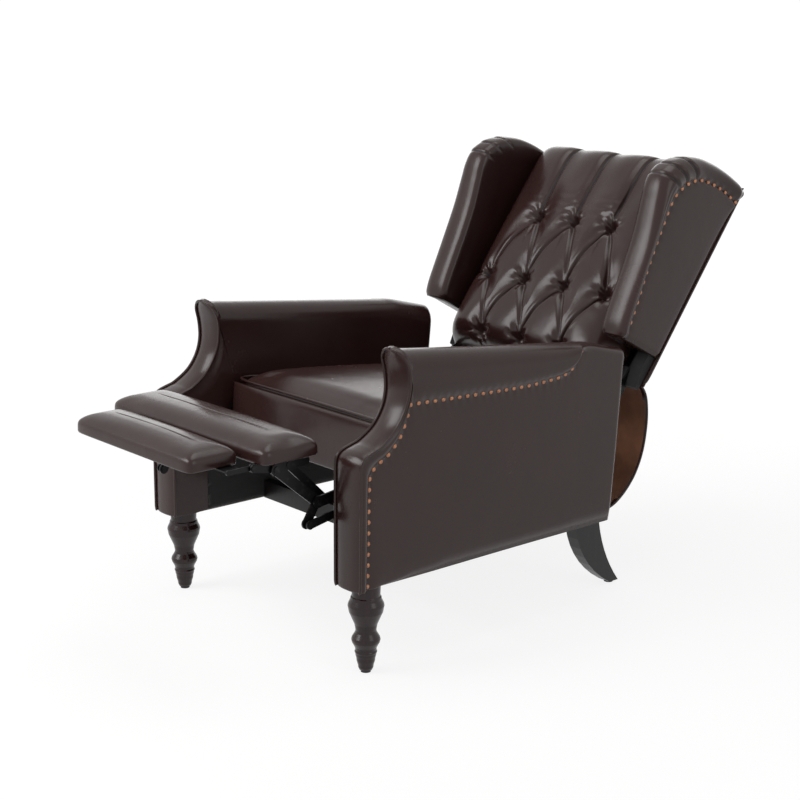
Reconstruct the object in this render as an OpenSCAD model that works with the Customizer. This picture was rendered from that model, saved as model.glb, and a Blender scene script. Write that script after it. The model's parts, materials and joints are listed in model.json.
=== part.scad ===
// Wingback push-back recliner, leaned back with its footrest out.
// +Z up, the chair faces -Y, the sitter's left arm is at +X, and the floor is z = 0.
// Depths are measured back from the front face of the arms.

/* [Overall] */
// Width over the two arms
chair_w = 700; // [680:5:720]
// Gap where two pieces are screwed or rest together
seat_gap = 0.3; // [0.2:0.05:0.4]
// Lean of the back from upright, in degrees
recline = 37.2; // [36:0.2:38]

/* [Arms] */
// Width of one arm, from its seat side to its outer roll
arm_w = 77; // [75:1:80]
// Height of the arms' underside above the floor
arm_base = 180; // [174:2:184]
// Height of the scroll at the front of an arm
arm_top = 638; // [634:2:644]
// Height of the arm at its rear end
arm_rear_top = 554; // [548:2:556]
// Depth of an arm along its underside
arm_foot_depth = 716; // [712:1:717]
// Depth of an arm along its top
arm_len = 750; // [748:1:752]
// Depth and height of the break in the slope of the arm's top
arm_break_y = 645; // [635:5:655]
// Height of that break
arm_break_z = 580; // [574:2:582]
// Radius of the hollow under the scroll
arm_curl_r = 122; // [118:1:124]
// Depth of the deepest point of that hollow
arm_curl_back = 124; // [122:1:128]
// Height of the centre of that hollow
arm_curl_z = 573; // [570:1:578]
// Radius of the shoulder above the arm's front foot
arm_toe_r = 27; // [22:1:32]
// Height of the centre of that shoulder
arm_toe_z = 425; // [420:1:430]
// Padding of the front panel, measured straight back
arm_pad = 9; // [7:1:10]
// Drop of the padded panel's rear face
arm_pad_drop = 6; // [4:1:7]
// How far the roll stands out over the side panel
arm_overhang = 10; // [7:1:12]
// Depth of the part of the nail line that follows the arm's front
trim_reach = 150; // [146:1:152]
// Height of the straight side of the roll
arm_roll_side = 20; // [14:1:21]

/* [Nails] */
// Radius of a nail's head
nail_r = 5.2; // [4.4:0.2:5.6]
// Height of a nail's head
nail_h = 2.8; // [2:0.2:3.4]
// Distance between nails on the arms
arm_nail_step = 21.5; // [19:0.5:26]
// Distance between nails on the wings
wing_nail_step = 23; // [20:0.5:28]

/* [Legs] */
// Distance of the front legs' centres from the arm's front face
front_leg_y = 48; // [44:1:56]
// Radius of the front leg's urn
leg_r = 36; // [30:1:37]
// Height of a furniture glide
glide_h = 5; // [4:0.5:8]
// Radius of a furniture glide
glide_r = 10; // [8:0.5:11]
// Thickness of a rear leg
rear_leg_t = 32; // [26:1:34]
// Distance from the rear leg's outer face to the arm's outer roll
rear_leg_inset = 68; // [66:1:78]
// Distance of the rear leg's front edge, at its top, ahead of the arm's rear foot
rear_leg_set = 48; // [44:1:52]
// Width of the rear leg at its top
rear_leg_w = 74; // [68:1:76]
// How far the rear foot stands behind the top of the leg
rear_leg_sweep = 120; // [100:2:130]
// Width of the rear foot
rear_foot_w = 28; // [24:1:34]

/* [Base frame] */
// Depth of the front stretcher's front face
stretcher_y = 240; // [234:2:260]
// Thickness of the wooden rails
rail_t = 22; // [18:1:24]
// Height of the wooden rails of the base
rail_h = 40; // [34:1:42]
// Thickness of the mechanism's side plates
plate_t = 3; // [2.5:0.1:3.2]
// Thickness of the links
link_t = 4; // [3.5:0.1:4.2]
// Free space between two layers of the mechanism
layer_gap = 1.8; // [1.7:0.05:2]
// Radius of the pivot pins
pin_r = 4; // [3.4:0.2:4.6]
// Half width of the links
link_r = 12; // [11:0.5:12.5]
// Depth of the front swing pivot
swing_y = 300; // [290:2:310]
// Height of the front swing pivot
swing_z = 264; // [260:1:268]
// Height of the swing link, pivot to pivot
swing_rise = 103.4; // [100:0.2:106]
// Lean of the swing link, as a distance back at its top
swing_lean = 20.1; // [18:0.1:22]
// Depth of the back's pivot
hinge_y = 676; // [672:1:680]
// Height of the back's pivot
hinge_z = 270; // [266:1:274]

/* [Seat] */
// Depth of the front of the seat's frame
seat_y = 147; // [144:1:150]
// Height of the top of the seat's frame at its front
seat_z = 424; // [422:1:426]
// Slope of the seat's frame, in degrees
seat_tilt = 4.5; // [4:0.1:5]
// Depth of the seat's frame
seat_d = 588; // [576:2:592]
// Height of the cushion's front edge above its frame
cushion_edge = 48; // [42:1:52]
// Height of the cushion's crown above that edge
cushion_crown = 40; // [30:1:44]
// Thickness of the padded panel in front of the seat
border_t = 5.4; // [4:0.2:6]
// Height of the underside of that panel
border_z = 345; // [340:1:350]
// Number of sinuous springs under the cushion
spring_n = 4; // [3:1:5]
// Thickness of the spring wire
wire_t = 3.6; // [3:0.2:4]

/* [Footrest] */
// Distance from the side of the main footrest pad to the arm's outer roll
pad_inset = 88; // [84:1:94]
// Depth of the main pad's front edge, ahead of the arms
pad_front = 161; // [158:1:162]
// Depth of the main pad's rear edge, ahead of the arms
pad_rear = 19; // [17:1:24]
// Height of the main pad's underside
pad_z = 455; // [454:0.5:458]
// Height of a footrest pad's edge
pad_edge = 24; // [20:1:26]
// Crown of a footrest pad
pad_crown = 8; // [5:1:10]
// Thickness of the plywood boards
board_t = 12; // [10:0.5:12]
// Distance from the side of the folding front pad to the main pad's side
flap_inset = 62; // [58:2:72]
// Distance ahead of the arms of the folding pad's front edge
flap_front = 284; // [276:1:286]
// Gap between the two footrest pads
flap_gap = 5; // [4:0.5:8]
// Height of the folding pad's underside
flap_z = 449; // [448:0.5:450]
// Depth of the folding pad's hinge, ahead of the arms
flap_hinge_y = 163; // [162:0.5:164]
// Height of the folding pad's hinge
flap_hinge_z = 436; // [435:0.5:436.5]

/* [Footrest linkage] */
// Depth of the lift link's pivot on the seat
lift_y = 150; // [148:1:152]
// Height of the lift link's pivot on the seat
lift_z = 368; // [366:1:369]
// Distance of the knee ahead of the arms
knee_y = 20; // [18:1:22]
// Height of the knee
knee_z = 346; // [344:1:348]
// Distance of the bracket's pivot ahead of the arms
reach_y = 116; // [114:1:118]
// Height of the bracket's pivot
reach_z = 426; // [424:1:427]
// Depth of the lower guide link's pivot on the seat
guide_y = 144.5; // [143:0.5:146]
// Height of the lower guide link's pivot on the seat
guide_z = 342.6; // [342:0.1:343]
// Distance ahead of the arms of the tail pivot of the reach link
tail_y = 44.8; // [44:0.1:46]
// Height of the tail pivot of the reach link
tail_z = 305.8; // [305:0.1:307]
// Depth of the steering link's pivot on the lift link
steer_y = 6; // [5:0.5:7]
// Height of the steering link's pivot on the lift link
steer_z = 345.7; // [345:0.1:347]
// Distance ahead of the arms of the steering link's pivot on the bracket
crank_y = 81.5; // [80:0.5:83]
// Height of the steering link's pivot on the bracket
crank_z = 429.6; // [429:0.1:430]

/* [Back] */
// Depth of the foot of the back, at its rear face
back_y = 801.5; // [798:0.5:804]
// Height of the foot of the back, at its rear face
back_z = 396; // [394:0.5:398]
// Height of the back along its lean
back_h = 601; // [590:1:606]
// Height of the foot of the posts along the lean
post_foot = 60; // [58:1:66]
// Width of a back post
post_w = 31.7; // [28:0.1:33]
// Distance from the posts' outer faces to the wings' side panels
back_inset = 12; // [11:1:14]
// Gap between the tufted pad and a wing
tuft_gap = 1; // [1:1:6]
// Height of the foot of the tufted pad along the lean
tuft_foot = 45; // [44:1:54]
// Thickness of the tufted pad
tuft_t = 112; // [100:1:116]
// Depth of a button below the pad's face
tuft_depth = 27; // [20:1:30]
// Radius of a button
button_r = 8.5; // [7:0.5:11]
// Thickness of the panel on the outside of the back
shell_t = 4; // [3:0.5:5]
// Height of the top of the outside panel along the lean
shell_top = 588; // [580:1:592]
// Distance from the side panel of a wing to the arm's outer roll
wing_inset = 38; // [34:1:40]
// Thickness of a wing
wing_w = 62; // [58:0.5:62.5]
// How far the wing's front roll stands out over its side panel
wing_flare = 9; // [6:1:12]
// Depth of the rolled front edge of a wing
wing_roll = 21; // [16:1:22]
// Greatest reach of a wing ahead of the back's rear face
wing_reach = 245; // [236:1:250]

/* [Rear flap] */
// Distance from the side of the leather flap to the posts' outer faces
skirt_inset = 22; // [16:1:30]
// Thickness of the flap
skirt_t = 3; // [2:0.5:4]
// How far the flap hangs out behind the base's rear rail
skirt_reach = 160; // [150:2:166]

/* [Hidden] */
$fn = 48;

leather = [0.19, 0.13, 0.13];
copper = [0.72, 0.43, 0.30];
espresso = [0.16, 0.08, 0.08];
steel = [0.23, 0.23, 0.24];
plywood = [0.78, 0.58, 0.42];
blackcloth = [0.08, 0.08, 0.08];

// Running clearance of a pin in its hole, and the wider one of a hole that is left open.
fit_gap = 0.05;
open_gap = 1.5;
// Rivet heads lie in the free space between two layers.
head_r = 7;
head_t = 1.4;
head_slip = 0.15;
bolt_r = 6;
bolt_h = 2.4;
// Distance from the nails' middles to the crease above them.
crease_gap = 8.5;
flat_share = 0.0016;
low_share = 0.25;
front_foot_share = 0.08;
lip_foot_share = 0.345;

arm_in = chair_w / 2 - arm_w;
arm_mid = chair_w / 2 - arm_w / 2;
panel_x = chair_w / 2 - arm_overhang;
rear_leg_x = chair_w / 2 - rear_leg_inset;
rear_leg_y = arm_foot_depth - rear_leg_set;
pad_x = chair_w / 2 - pad_inset;
flap_x = pad_x - flap_inset;
wing_x = chair_w / 2 - wing_inset;
wing_in = wing_x - wing_w;
back_x = wing_x - back_inset;
tuft_x = wing_in - tuft_gap;
skirt_x = back_x - skirt_inset;
curl_y = arm_curl_back - arm_curl_r;
tip_rise = arm_top - arm_curl_z;
arm_tip = [curl_y + sqrt(arm_curl_r * arm_curl_r - tip_rise * tip_rise), arm_top];
arm_crest = [arm_break_y, arm_break_z];
arm_rear = [arm_len, arm_rear_top];
arm_foot = [arm_foot_depth, arm_base];

// Layers of the mechanism, from the arm inwards.
base_plate_x = arm_in - seat_gap - plate_t;
swing_x = base_plate_x - layer_gap - link_t;
seat_plate_x = swing_x - layer_gap - plate_t;
guide_x = seat_plate_x - layer_gap - link_t;
lift_x = guide_x - layer_gap - link_t;
reach_x = lift_x - layer_gap - link_t;
bracket_x = reach_x - layer_gap - link_t;
steer_x = bracket_x - layer_gap - link_t;

// Pivots, each as [depth, height].
swing_p = [swing_y, swing_z];
swing_q = swing_p + [swing_lean, swing_rise];
hinge_p = [hinge_y, hinge_z];
hinge_q = hinge_p + [swing_lean, swing_rise];
lift_p = [lift_y, lift_z];
knee_p = [-knee_y, knee_z];
reach_p = [-reach_y, reach_z];
guide_p = [guide_y, guide_z];
tail_p = [-tail_y, tail_z];
steer_p = [steer_y, steer_z];
crank_p = [-crank_y, crank_z];
flap_p = [-flap_hinge_y, flap_hinge_z];

// A point of the back, t ahead of its rear face and h up its lean, as [depth, height].
function back_pt(t, h) = [
    back_y - t * cos(recline) + h * sin(recline),
    back_z + t * sin(recline) + h * cos(recline)
];
post_t = rail_t;
front_y = -flap_front;
rear_y = back_pt(-seat_gap - shell_t, shell_top)[0];
mid_y = (front_y + rear_y) / 2;

// Nail line on the side of an arm: shares of its front reach, then of the arm's length, with heights.
trim_front_share = [
    [0.18, 0.017], [0.1935, 0.240], [0.2065, 0.472], [0.24, 0.504], [0.32, 0.535], [0.515, 0.570],
    [0.70, 0.629], [0.815, 0.699], [0.88, 0.755], [0.98, 0.767]
];
trim_rear_share = [
    [0.293, 0.760], [0.564, 0.743], [0.684, 0.747], [0.737, 0.755], [0.772, 0.777], [0.792, 0.812]
];
arm_trim = concat(
    [for (s = trim_front_share) [s[0] * trim_reach, arm_base + s[1] * (arm_top - arm_base)]],
    [for (s = trim_rear_share) [s[0] * arm_len, arm_base + s[1] * (arm_top - arm_base)]]
);
// Rings over the roll: crest depth, foot depth, as shares of the arm's length; then the plain rear.
roll_ring_share = [
    [0.190, 0.375], [0.265, 0.430], [0.560, 0.640], [0.672, 0.705], [0.716, 0.735], [0.740, 0.760],
    [0.764, 0.785]
];
rear_ring_share = [[0.830, 0.830], [0.860, 0.855], [0.930, 0.910]];
// Points down a ring, from the crest to just above the nails.
ring_share = [0, 0.015, 0.05, 0.12, 0.22, 0.36, 0.62, 0.78, 0.90];
// Hourglass of the front panel: share of its height, share of its half width.
hourglass_share = [
    [0, 0.95], [0.48, 0.96], [0.56, 0.92], [0.62, 0.85], [0.70, 0.82], [0.78, 0.86],
    [0.86, 0.95], [0.92, 0.99], [0.96, 0.93], [0.985, 0.75], [1.01, 0.4]
];
// Wing: share of the back's height, share of the wing's reach.
wing_share = [
    [0.2, 0.59], [0.22, 0.62], [0.27, 0.655], [0.353, 0.706], [0.50, 0.784], [0.617, 0.873],
    [0.70, 0.955], [0.755, 1.0], [0.80, 0.99], [0.835, 0.95], [0.88, 0.86], [0.91, 0.755],
    [0.94, 0.64], [0.96, 0.48], [0.974, 0.31], [0.982, 0.17]
];
// Nail line on a wing: share of the back's height, share of the wing's reach.
wing_trim_share = [
    [0.265, 0.53], [0.349, 0.585], [0.458, 0.645], [0.567, 0.715], [0.672, 0.767], [0.725, 0.776],
    [0.765, 0.755], [0.799, 0.718], [0.832, 0.661], [0.863, 0.580], [0.878, 0.486], [0.897, 0.335],
    [0.908, 0.176], [0.910, 0.03]
];
wing_trim = [for (s = wing_trim_share) [s[1] * wing_reach, s[0] * back_h]];
// Buttons: share of the pad's half width, share of the back's height.
button_share = [
    [-0.454, 0.632], [0, 0.632], [0.454, 0.632],
    [-0.743, 0.363], [-0.249, 0.363], [0.249, 0.363], [0.743, 0.363],
    [-0.502, 0.126], [0, 0.126], [0.502, 0.126]
];
buttons = [for (s = button_share) [s[0] * tuft_x, s[1] * back_h]];
// Folds run between neighbouring buttons, and pleats from the outer ones to the pad's edges.
fold_pairs = [
    [0, 3], [0, 4], [1, 4], [1, 5], [2, 5], [2, 6],
    [3, 7], [4, 7], [4, 8], [5, 8], [5, 9], [6, 9]
];
fold_share = 0.4;
bar_share = 0.92;
tuft_spread = 24;
fold_spread = 11;

// Shared shapes

module home() {
    translate([0, -mid_y, 0]) children();
}

module mirrored() {
    mirror([1, 0, 0]) children();
}

module both_sides() {
    children();
    mirrored() children();
}

// A flat outline in depth and height, given a thickness across the chair.
module upright_plate(x, thick) {
    translate([x, 0, 0]) rotate([90, 0, 90]) linear_extrude(thick) children();
}

// The back is drawn standing up, its rear face at y = 0 and its front towards -y.
module on_back() {
    translate([0, back_y, back_z]) rotate([-recline, 0, 0]) children();
}

module on_seat() {
    translate([0, seat_y, seat_z]) rotate([-seat_tilt, 0, 0]) children();
}

module box(x, y, z) {
    translate([x[0], y[0], z[0]]) cube([x[1] - x[0], y[1] - y[0], z[1] - z[0]]);
}

// A flat bar between two round eyes; the bar is a little narrower than its eyes.
module strap(a, b, r) {
    d = b - a;
    w = 2 * r * bar_share;
    translate(a) rotate(atan2(d[1], d[0])) translate([0, -w / 2]) square([norm(d), w]);
    translate(a) circle(r = r);
    translate(b) circle(r = r);
}

module pivot_hole(p, extra = 0) {
    translate(p) circle(r = pin_r + extra);
}

// A shaft across the layers from x0 to x1, with a head at either end.
module rivet(p, x0, x1, inner_head = true, outer_head = true) {
    translate([0, p[0], p[1]]) rotate([0, 90, 0]) {
        translate([0, 0, x0 - (inner_head ? head_slip : 0)])
            cylinder(h = x1 - x0 + (inner_head ? head_slip : 0) + (outer_head ? head_slip : 0),
                r = pin_r - fit_gap);
        if (inner_head) translate([0, 0, x0 - head_slip - head_t]) cylinder(h = head_t, r = head_r);
        if (outer_head) translate([0, 0, x1 + head_slip]) cylinder(h = head_t, r = head_r);
    }
}

// A domed head on a face at x, at depth and height p.
module nail(x, p) {
    dome = [for (a = [0 : 30 : 90]) [nail_r * cos(a), nail_h * sin(a)]];
    translate([x, p[0], p[1]]) rotate([0, 90, 0])
        rotate_extrude($fn = 24) polygon(concat([[0, 0]], dome));
}

function run_lengths(p, i = 0, sum = 0) =
    i >= len(p) - 1 ? [sum] : concat([sum], run_lengths(p, i + 1, sum + norm(p[i + 1] - p[i])));

function point_at(p, runs, d, i = 0) =
    i >= len(p) - 2 || d <= runs[i + 1]
        ? p[i] + (p[i + 1] - p[i]) * (d - runs[i]) / (runs[i + 1] - runs[i])
        : point_at(p, runs, d, i + 1);

function spaced(p, step) =
    let(runs = run_lengths(p), total = runs[len(runs) - 1], n = round(total / step))
    [for (i = [0 : n]) point_at(p, runs, total * i / n)];

function arc(c, r, from, to, n) = [for (i = [0 : n]) let(a = from + (to - from) * i / n)
    c + r * [cos(a), sin(a)]];

function bezier(a, b, c, n) = [for (i = [0 : n]) let(k = i / n)
    a * (1 - k) * (1 - k) + b * 2 * k * (1 - k) + c * k * k];

// A closed skin over rings of equal counts, each end closed by a fan round its middle.
// From the point turn on, the first strip's quads are split along their other diagonal.
module skin(rings, turn = undef) {
    n = len(rings[0]);
    swap = is_undef(turn) ? n : turn;
    m = len(rings);
    ends = [middle(rings[0]), middle(rings[m - 1])];
    sides = [for (j = [0 : m - 2], i = [0 : n - 1]) let(k = (i + 1) % n, a = j * n, b = (j + 1) * n)
        each j == 0 && i >= swap ? [[a + i, b + i, b + k], [a + i, b + k, a + k]]
            : [[a + i, b + i, a + k], [a + k, b + i, b + k]]];
    first = [for (i = [0 : n - 1]) [m * n, i, (i + 1) % n]];
    last = [for (i = [0 : n - 1]) [m * n + 1, (m - 1) * n + (i + 1) % n, (m - 1) * n + i]];
    polyhedron(points = concat([for (r = rings) each r], ends), faces = concat(sides, first, last));
}

function middle(ring) = let(n = len(ring)) [for (k = [0 : 2]) sum_of([for (p = ring) p[k]]) / n];

function sum_of(v, i = 0) = i >= len(v) ? 0 : v[i] + sum_of(v, i + 1);

// A ring with softly squared corners at one height.
function soft_ring(hx, hy, z, n, square_share) = [for (i = [0 : n - 1]) let(
        a = 360 * i / n,
        c = cos(a),
        s = sin(a))
    [hx * sign(c) * pow(abs(c), square_share), hy * sign(s) * pow(abs(s), square_share), z]];

// A padded form: drawn-in foot, full side, sewn edge and crowned top.
function pillow(hx, hy, edge, crown, n, square_share) = [for (s = pillow_share) soft_ring(
    hx - s[0] * hy, hy - s[0] * hy, s[1] * edge + s[2] * crown, n, square_share)];
pillow_share = [
    [0.035, 0, 0], [0.008, 0.18, 0], [0, 0.5, 0], [0.012, 0.86, 0], [0.03, 1, 0],
    [0.07, 1, 0.34], [0.17, 1, 0.62], [0.33, 1, 0.84], [0.55, 1, 0.96], [0.8, 1, 1]
];

// Arms

// Hollow of an arm's front, up to a height over its top.
function curl_arc(rise) = arc([curl_y, arm_curl_z], arm_curl_r, -64,
    asin((arm_top + rise - arm_curl_z) / arm_curl_r), 16);

// Front edge of an arm in side view, from its foot to its lip.
function arm_edge() = concat(
    [[0, arm_base]],
    arc([arm_toe_r, arm_toe_z], arm_toe_r, 180, 112, 5),
    curl_arc(0)
);

// The same edge under the padded front panel.
function arm_core_edge() = concat(
    [[arm_pad, arm_base]],
    [for (p = arc([arm_toe_r, arm_toe_z], arm_toe_r, 180, 112, 5)) p + [arm_pad, -arm_pad_drop]],
    [for (p = curl_arc(arm_pad_drop))
        [min(p[0] + arm_pad, arm_curl_back + arm_pad / 2), p[1] - arm_pad_drop]]
);

// Height of the crest over a depth.
function crest_z(y) = y < arm_break_y
    ? arm_crest[1] + (arm_break_y - y) * (arm_tip[1] - arm_crest[1]) / (arm_crest[0] - arm_tip[0])
    : arm_crest[1] + (arm_break_y - y) * (arm_crest[1] - arm_rear[1]) / (arm_rear[0] - arm_crest[0]);

// A point near the crest, kept a hair under it.
function under_crest(p) = [p[0], min(p[1], crest_z(p[0]) - arm_w * flat_share)];

// Half width of a roll at a depth under its crest, with a tuck below its straight side.
function roll_half(d, r) = d < r ? sqrt(r * r - (r - d) * (r - d))
    : sqrt(max(r * r - pow(max(d - r - arm_roll_side, 0), 2), 0));

// One ring of an arm: down the outer side to the foot and up the inner side.
function arm_ring(top, trim, foot, r) = let(
        crease = trim + (top - trim) * min(1, crease_gap / norm(top - trim)),
        line = [for (k = ring_share) top + (crease - top) * k],
        mid = arm_in + r)
    concat(
        [for (p = line) [max(mid + roll_half(crest_z(p[0]) - p[1], r),
            crest_z(p[0]) - p[1] > r ? panel_x : 0), p[0], p[1]]],
        [[panel_x, crease[0], crease[1]], [panel_x, foot, arm_base]],
        [[arm_in, foot, arm_base]],
        [for (i = [6 : -1 : 0]) let(p = line[i], d = crest_z(p[0]) - p[1])
            [d > r ? arm_in : mid - roll_half(d, r), p[0], p[1]]]
    );

module one_arm() {
    core = arm_core_edge();
    m = len(core) - 1;
    n = len(arm_trim);
    wide = arm_w / 2;
    narrow = (panel_x - arm_in) / 2;
    front_foot = arm_len * front_foot_share;
    lip_foot = arm_len * lip_foot_share;
    front = [for (j = [0 : m]) let(
            foot = front_foot + (lip_foot - front_foot) * (j == 0 ? 0 : sqrt((j + 1) / (m + 1))),
            top = under_crest(core[j]),
            low = top + ([foot, arm_base] - top) * low_share,
            beside = arm_trim[8] + (arm_trim[9] - arm_trim[8]) * j / m)
        arm_ring(top, top[1] > arm_trim[9][1] + crease_gap ? beside : low, foot, wide)];
    rolled = [for (i = [0 : len(roll_ring_share) - 1]) let(s = roll_ring_share[i] * arm_len)
        arm_ring(under_crest([s[0], arm_top]), arm_trim[n - len(roll_ring_share) + i], s[1], wide)];
    plain = [for (s = rear_ring_share) let(top = under_crest([s[0] * arm_len, arm_top]))
        arm_ring(top, top - [0, narrow + seat_gap], s[1] * arm_len, narrow)];
    last_top = under_crest(arm_rear);
    last_low = last_top + (arm_foot - last_top) * (narrow + crease_gap) / norm(arm_foot - last_top);
    last = arm_ring(last_top, last_low, arm_foot_depth, narrow);
    skin(concat(front, rolled, plain, [last]), len(ring_share) + 2);
}

module left_arm() {
    color(leather) home() one_arm();
}

module right_arm() {
    color(leather) home() mirrored() one_arm();
}

module one_arm_front() {
    h = arm_top - arm_base;
    half = [for (s = hourglass_share) [s[1] * arm_w / 2, arm_base + s[0] * h]];
    other = [for (i = [len(half) - 1 : -1 : 0]) [-half[i][0], half[i][1]]];
    core = arm_core_edge();
    under = [for (i = [len(core) - 1 : -1 : 0]) core[i]];
    intersection() {
        upright_plate(arm_in, arm_w) polygon(concat(arm_edge(), under));
        translate([arm_mid, arm_len, 0]) rotate([90, 0, 0])
            linear_extrude(arm_len + arm_w) polygon(concat(half, other));
    }
}

module left_arm_front() {
    color(leather) home() one_arm_front();
}

module right_arm_front() {
    color(leather) home() mirrored() one_arm_front();
}

module one_arm_nails() {
    for (p = spaced(arm_trim, arm_nail_step)) nail(panel_x, p);
}

module left_arm_nails() {
    color(copper) home() one_arm_nails();
}

module right_arm_nails() {
    color(copper) home() mirrored() one_arm_nails();
}

// Legs and glides

// Turned outline: share of the leg's height, share of its urn's radius.
turning_share = [
    [0, 0.36], [0.03, 0.42], [0.13, 0.52], [0.19, 0.58], [0.215, 0.62], [0.24, 0.58], [0.36, 0.80],
    [0.47, 0.57], [0.76, 1], [0.86, 0.84], [0.88, 0.78], [1, 0.80]
];
turning_steps = 4;

function turned(s, h, r) = [for (i = [0 : len(s) - 2], k = [0 : turning_steps - 1]) let(
        f = (1 - cos(180 * k / turning_steps)) / 2,
        g = k / turning_steps)
    [r * (s[i][1] + (s[i + 1][1] - s[i][1]) * f), h * (s[i][0] + (s[i + 1][0] - s[i][0]) * g)]];

module one_front_leg() {
    h = arm_base - glide_h;
    top = [leg_r * turning_share[len(turning_share) - 1][1], h];
    translate([arm_mid, front_leg_y, glide_h])
        rotate_extrude($fn = 64) polygon(concat([[0, 0]], turned(turning_share, h, leg_r), [top, [0, h]]));
}

module left_front_leg() {
    color(espresso) home() one_front_leg();
}

module right_front_leg() {
    color(espresso) home() mirrored() one_front_leg();
}

rear_foot_y = rear_leg_y + rear_leg_sweep;

module one_rear_leg() {
    front = bezier([rear_leg_y, arm_base], [rear_leg_y + rear_leg_w / 8, arm_base / 2.6],
        [rear_foot_y, glide_h], 8);
    back = bezier([rear_foot_y + rear_foot_w, glide_h],
        [rear_leg_y + rear_leg_w * 1.15, arm_base / 2.2], [rear_leg_y + rear_leg_w, arm_base], 8);
    upright_plate(rear_leg_x - rear_leg_t, rear_leg_t) polygon(concat(front, back));
}

module left_rear_leg() {
    color(espresso) home() one_rear_leg();
}

module right_rear_leg() {
    color(espresso) home() mirrored() one_rear_leg();
}

module leg_glides() {
    color(steel) home() both_sides() {
        translate([arm_mid, front_leg_y, 0]) cylinder(h = glide_h, r = glide_r);
        translate([rear_leg_x - rear_leg_t / 2, rear_foot_y + rear_foot_w / 2, 0])
            cylinder(h = glide_h, r = glide_r);
    }
}

// Base frame

rear_rail_y = arm_foot_depth + (arm_len - arm_foot_depth) * rail_h / (arm_rear_top - arm_base) + seat_gap;

module front_stretcher() {
    color(espresso) home()
        box([-arm_in + seat_gap, arm_in - seat_gap], [stretcher_y, stretcher_y + rail_t],
            [arm_base, arm_base + rail_h]);
}

module rear_rail() {
    color(blackcloth) home()
        box([-back_x, back_x], [rear_rail_y, rear_rail_y + rail_t],
            [arm_base + seat_gap, arm_base + rail_h]);
}

module corner_blocks() {
    color(plywood) home() both_sides()
        upright_plate(rear_leg_x - rear_leg_t - rail_h, arm_in - seat_gap - rear_leg_x + rear_leg_t + rail_h)
            polygon([
                [rear_leg_y - rail_t, arm_base + seat_gap], [rear_rail_y - seat_gap, arm_base + seat_gap],
                [rear_rail_y - seat_gap, arm_base + rail_h], [rear_leg_y, arm_base + rail_h]
            ]);
}

module one_base_plate() {
    foot_f = [swing_p[0] + rail_t, arm_base + rail_h / 2];
    foot_r = [hinge_p[0] - rail_t, arm_base + rail_h + link_r + rail_h / 4];
    upright_plate(base_plate_x, plate_t) difference() {
        union() {
            strap(swing_p, hinge_p, link_r * 1.5);
            strap(swing_p, [stretcher_y + rail_t + link_r * 3, arm_base + rail_h / 2 + link_r], link_r);
            strap(hinge_p, foot_r, link_r * 1.5);
        }
        pivot_hole(swing_p);
        pivot_hole(hinge_p);
        for (k = [0.3 : 0.2 : 0.7]) translate(swing_p + (hinge_p - swing_p) * k) circle(r = link_r * 0.6);
    }
}

module left_base_plate() {
    color(steel) home() one_base_plate();
}

module right_base_plate() {
    color(steel) home() mirrored() one_base_plate();
}

module base_pins() {
    color(steel) home() both_sides() {
        rivet(swing_p, swing_x, base_plate_x + plate_t, true, false);
        rivet(hinge_p, swing_x, base_plate_x + plate_t, true, false);
    }
}

module base_bolts() {
    color(steel) home() both_sides()
        for (k = [0.2 : 0.2 : 0.8]) let(p = swing_p + (hinge_p - swing_p) * k)
            translate([base_plate_x - seat_gap / 3 - bolt_h, p[0], p[1]]) rotate([0, 90, 0])
                cylinder(h = bolt_h, r1 = bolt_r * 0.7, r2 = bolt_r, $fn = 32);
}

// Centre line of the flap, from the back's lower edge down to the rear rail.
skirt_share = [
    [0.615, 1.0], [0.80, 1.005], [0.92, 0.93], [0.99, 0.80], [1.0, 0.60], [0.94, 0.37], [0.80, 0.19],
    [0.60, 0.06], [0.38, -0.02], [0.17, 0.0], [0.02, 0.08]
];

module rear_flap() {
    y0 = rear_rail_y + rail_t + seat_gap;
    z1 = back_pt(0, post_foot)[1];
    line = [for (s = skirt_share) [y0 + s[0] * skirt_reach, arm_base + s[1] * (z1 - arm_base)]];
    fine = smooth(line, 3);
    color(leather) home() upright_plate(-skirt_x, 2 * skirt_x) band(fine, skirt_t);
}

// A strip of even thickness whose one face follows the points.
module band(p, t) {
    n = len(p);
    side = [for (i = [n - 1 : -1 : 0]) let(
            a = p[max(i - 1, 0)],
            b = p[min(i + 1, n - 1)],
            d = (b - a) / norm(b - a))
        p[i] + t * [-d[1], d[0]]];
    polygon(concat(p, side));
}

// Points on a smooth curve through the given ones.
function smooth(p, n) = let(m = len(p)) concat([for (i = [0 : m - 2], k = [0 : n - 1]) let(
        a = p[max(i - 1, 0)],
        b = p[i],
        c = p[i + 1],
        d = p[min(i + 2, m - 1)],
        t = k / n)
    (2 * b + (c - a) * t + (2 * a - 5 * b + 4 * c - d) * t * t + (3 * b - a - 3 * c + d) * t * t * t) / 2],
    [p[m - 1]]);

// Swing links

module one_swing_link() {
    upright_plate(swing_x, link_t) difference() {
        strap(swing_p, swing_q, link_r);
        pivot_hole(swing_p);
        pivot_hole(swing_q);
    }
}

module left_swing_link() {
    color(steel) home() one_swing_link();
}

module right_swing_link() {
    color(steel) home() mirrored() one_swing_link();
}

// Seat

cushion_x = seat_plate_x - seat_gap;

module seat_cushion() {
    half = seat_d / 2;
    taper_share = 0.3;
    whole = pillow(cushion_x + seat_gap, half, cushion_edge, cushion_crown, 56, 0.16);
    rings = [for (r = whole) [for (p = r) let(down = 1 - taper_share * (p[1] + half) / seat_d)
        [p[0], p[1] + half, p[2] * down + wire_t + seat_gap * 4 / 3]]];
    color(leather) home() on_seat() skin(rings);
}

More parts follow.
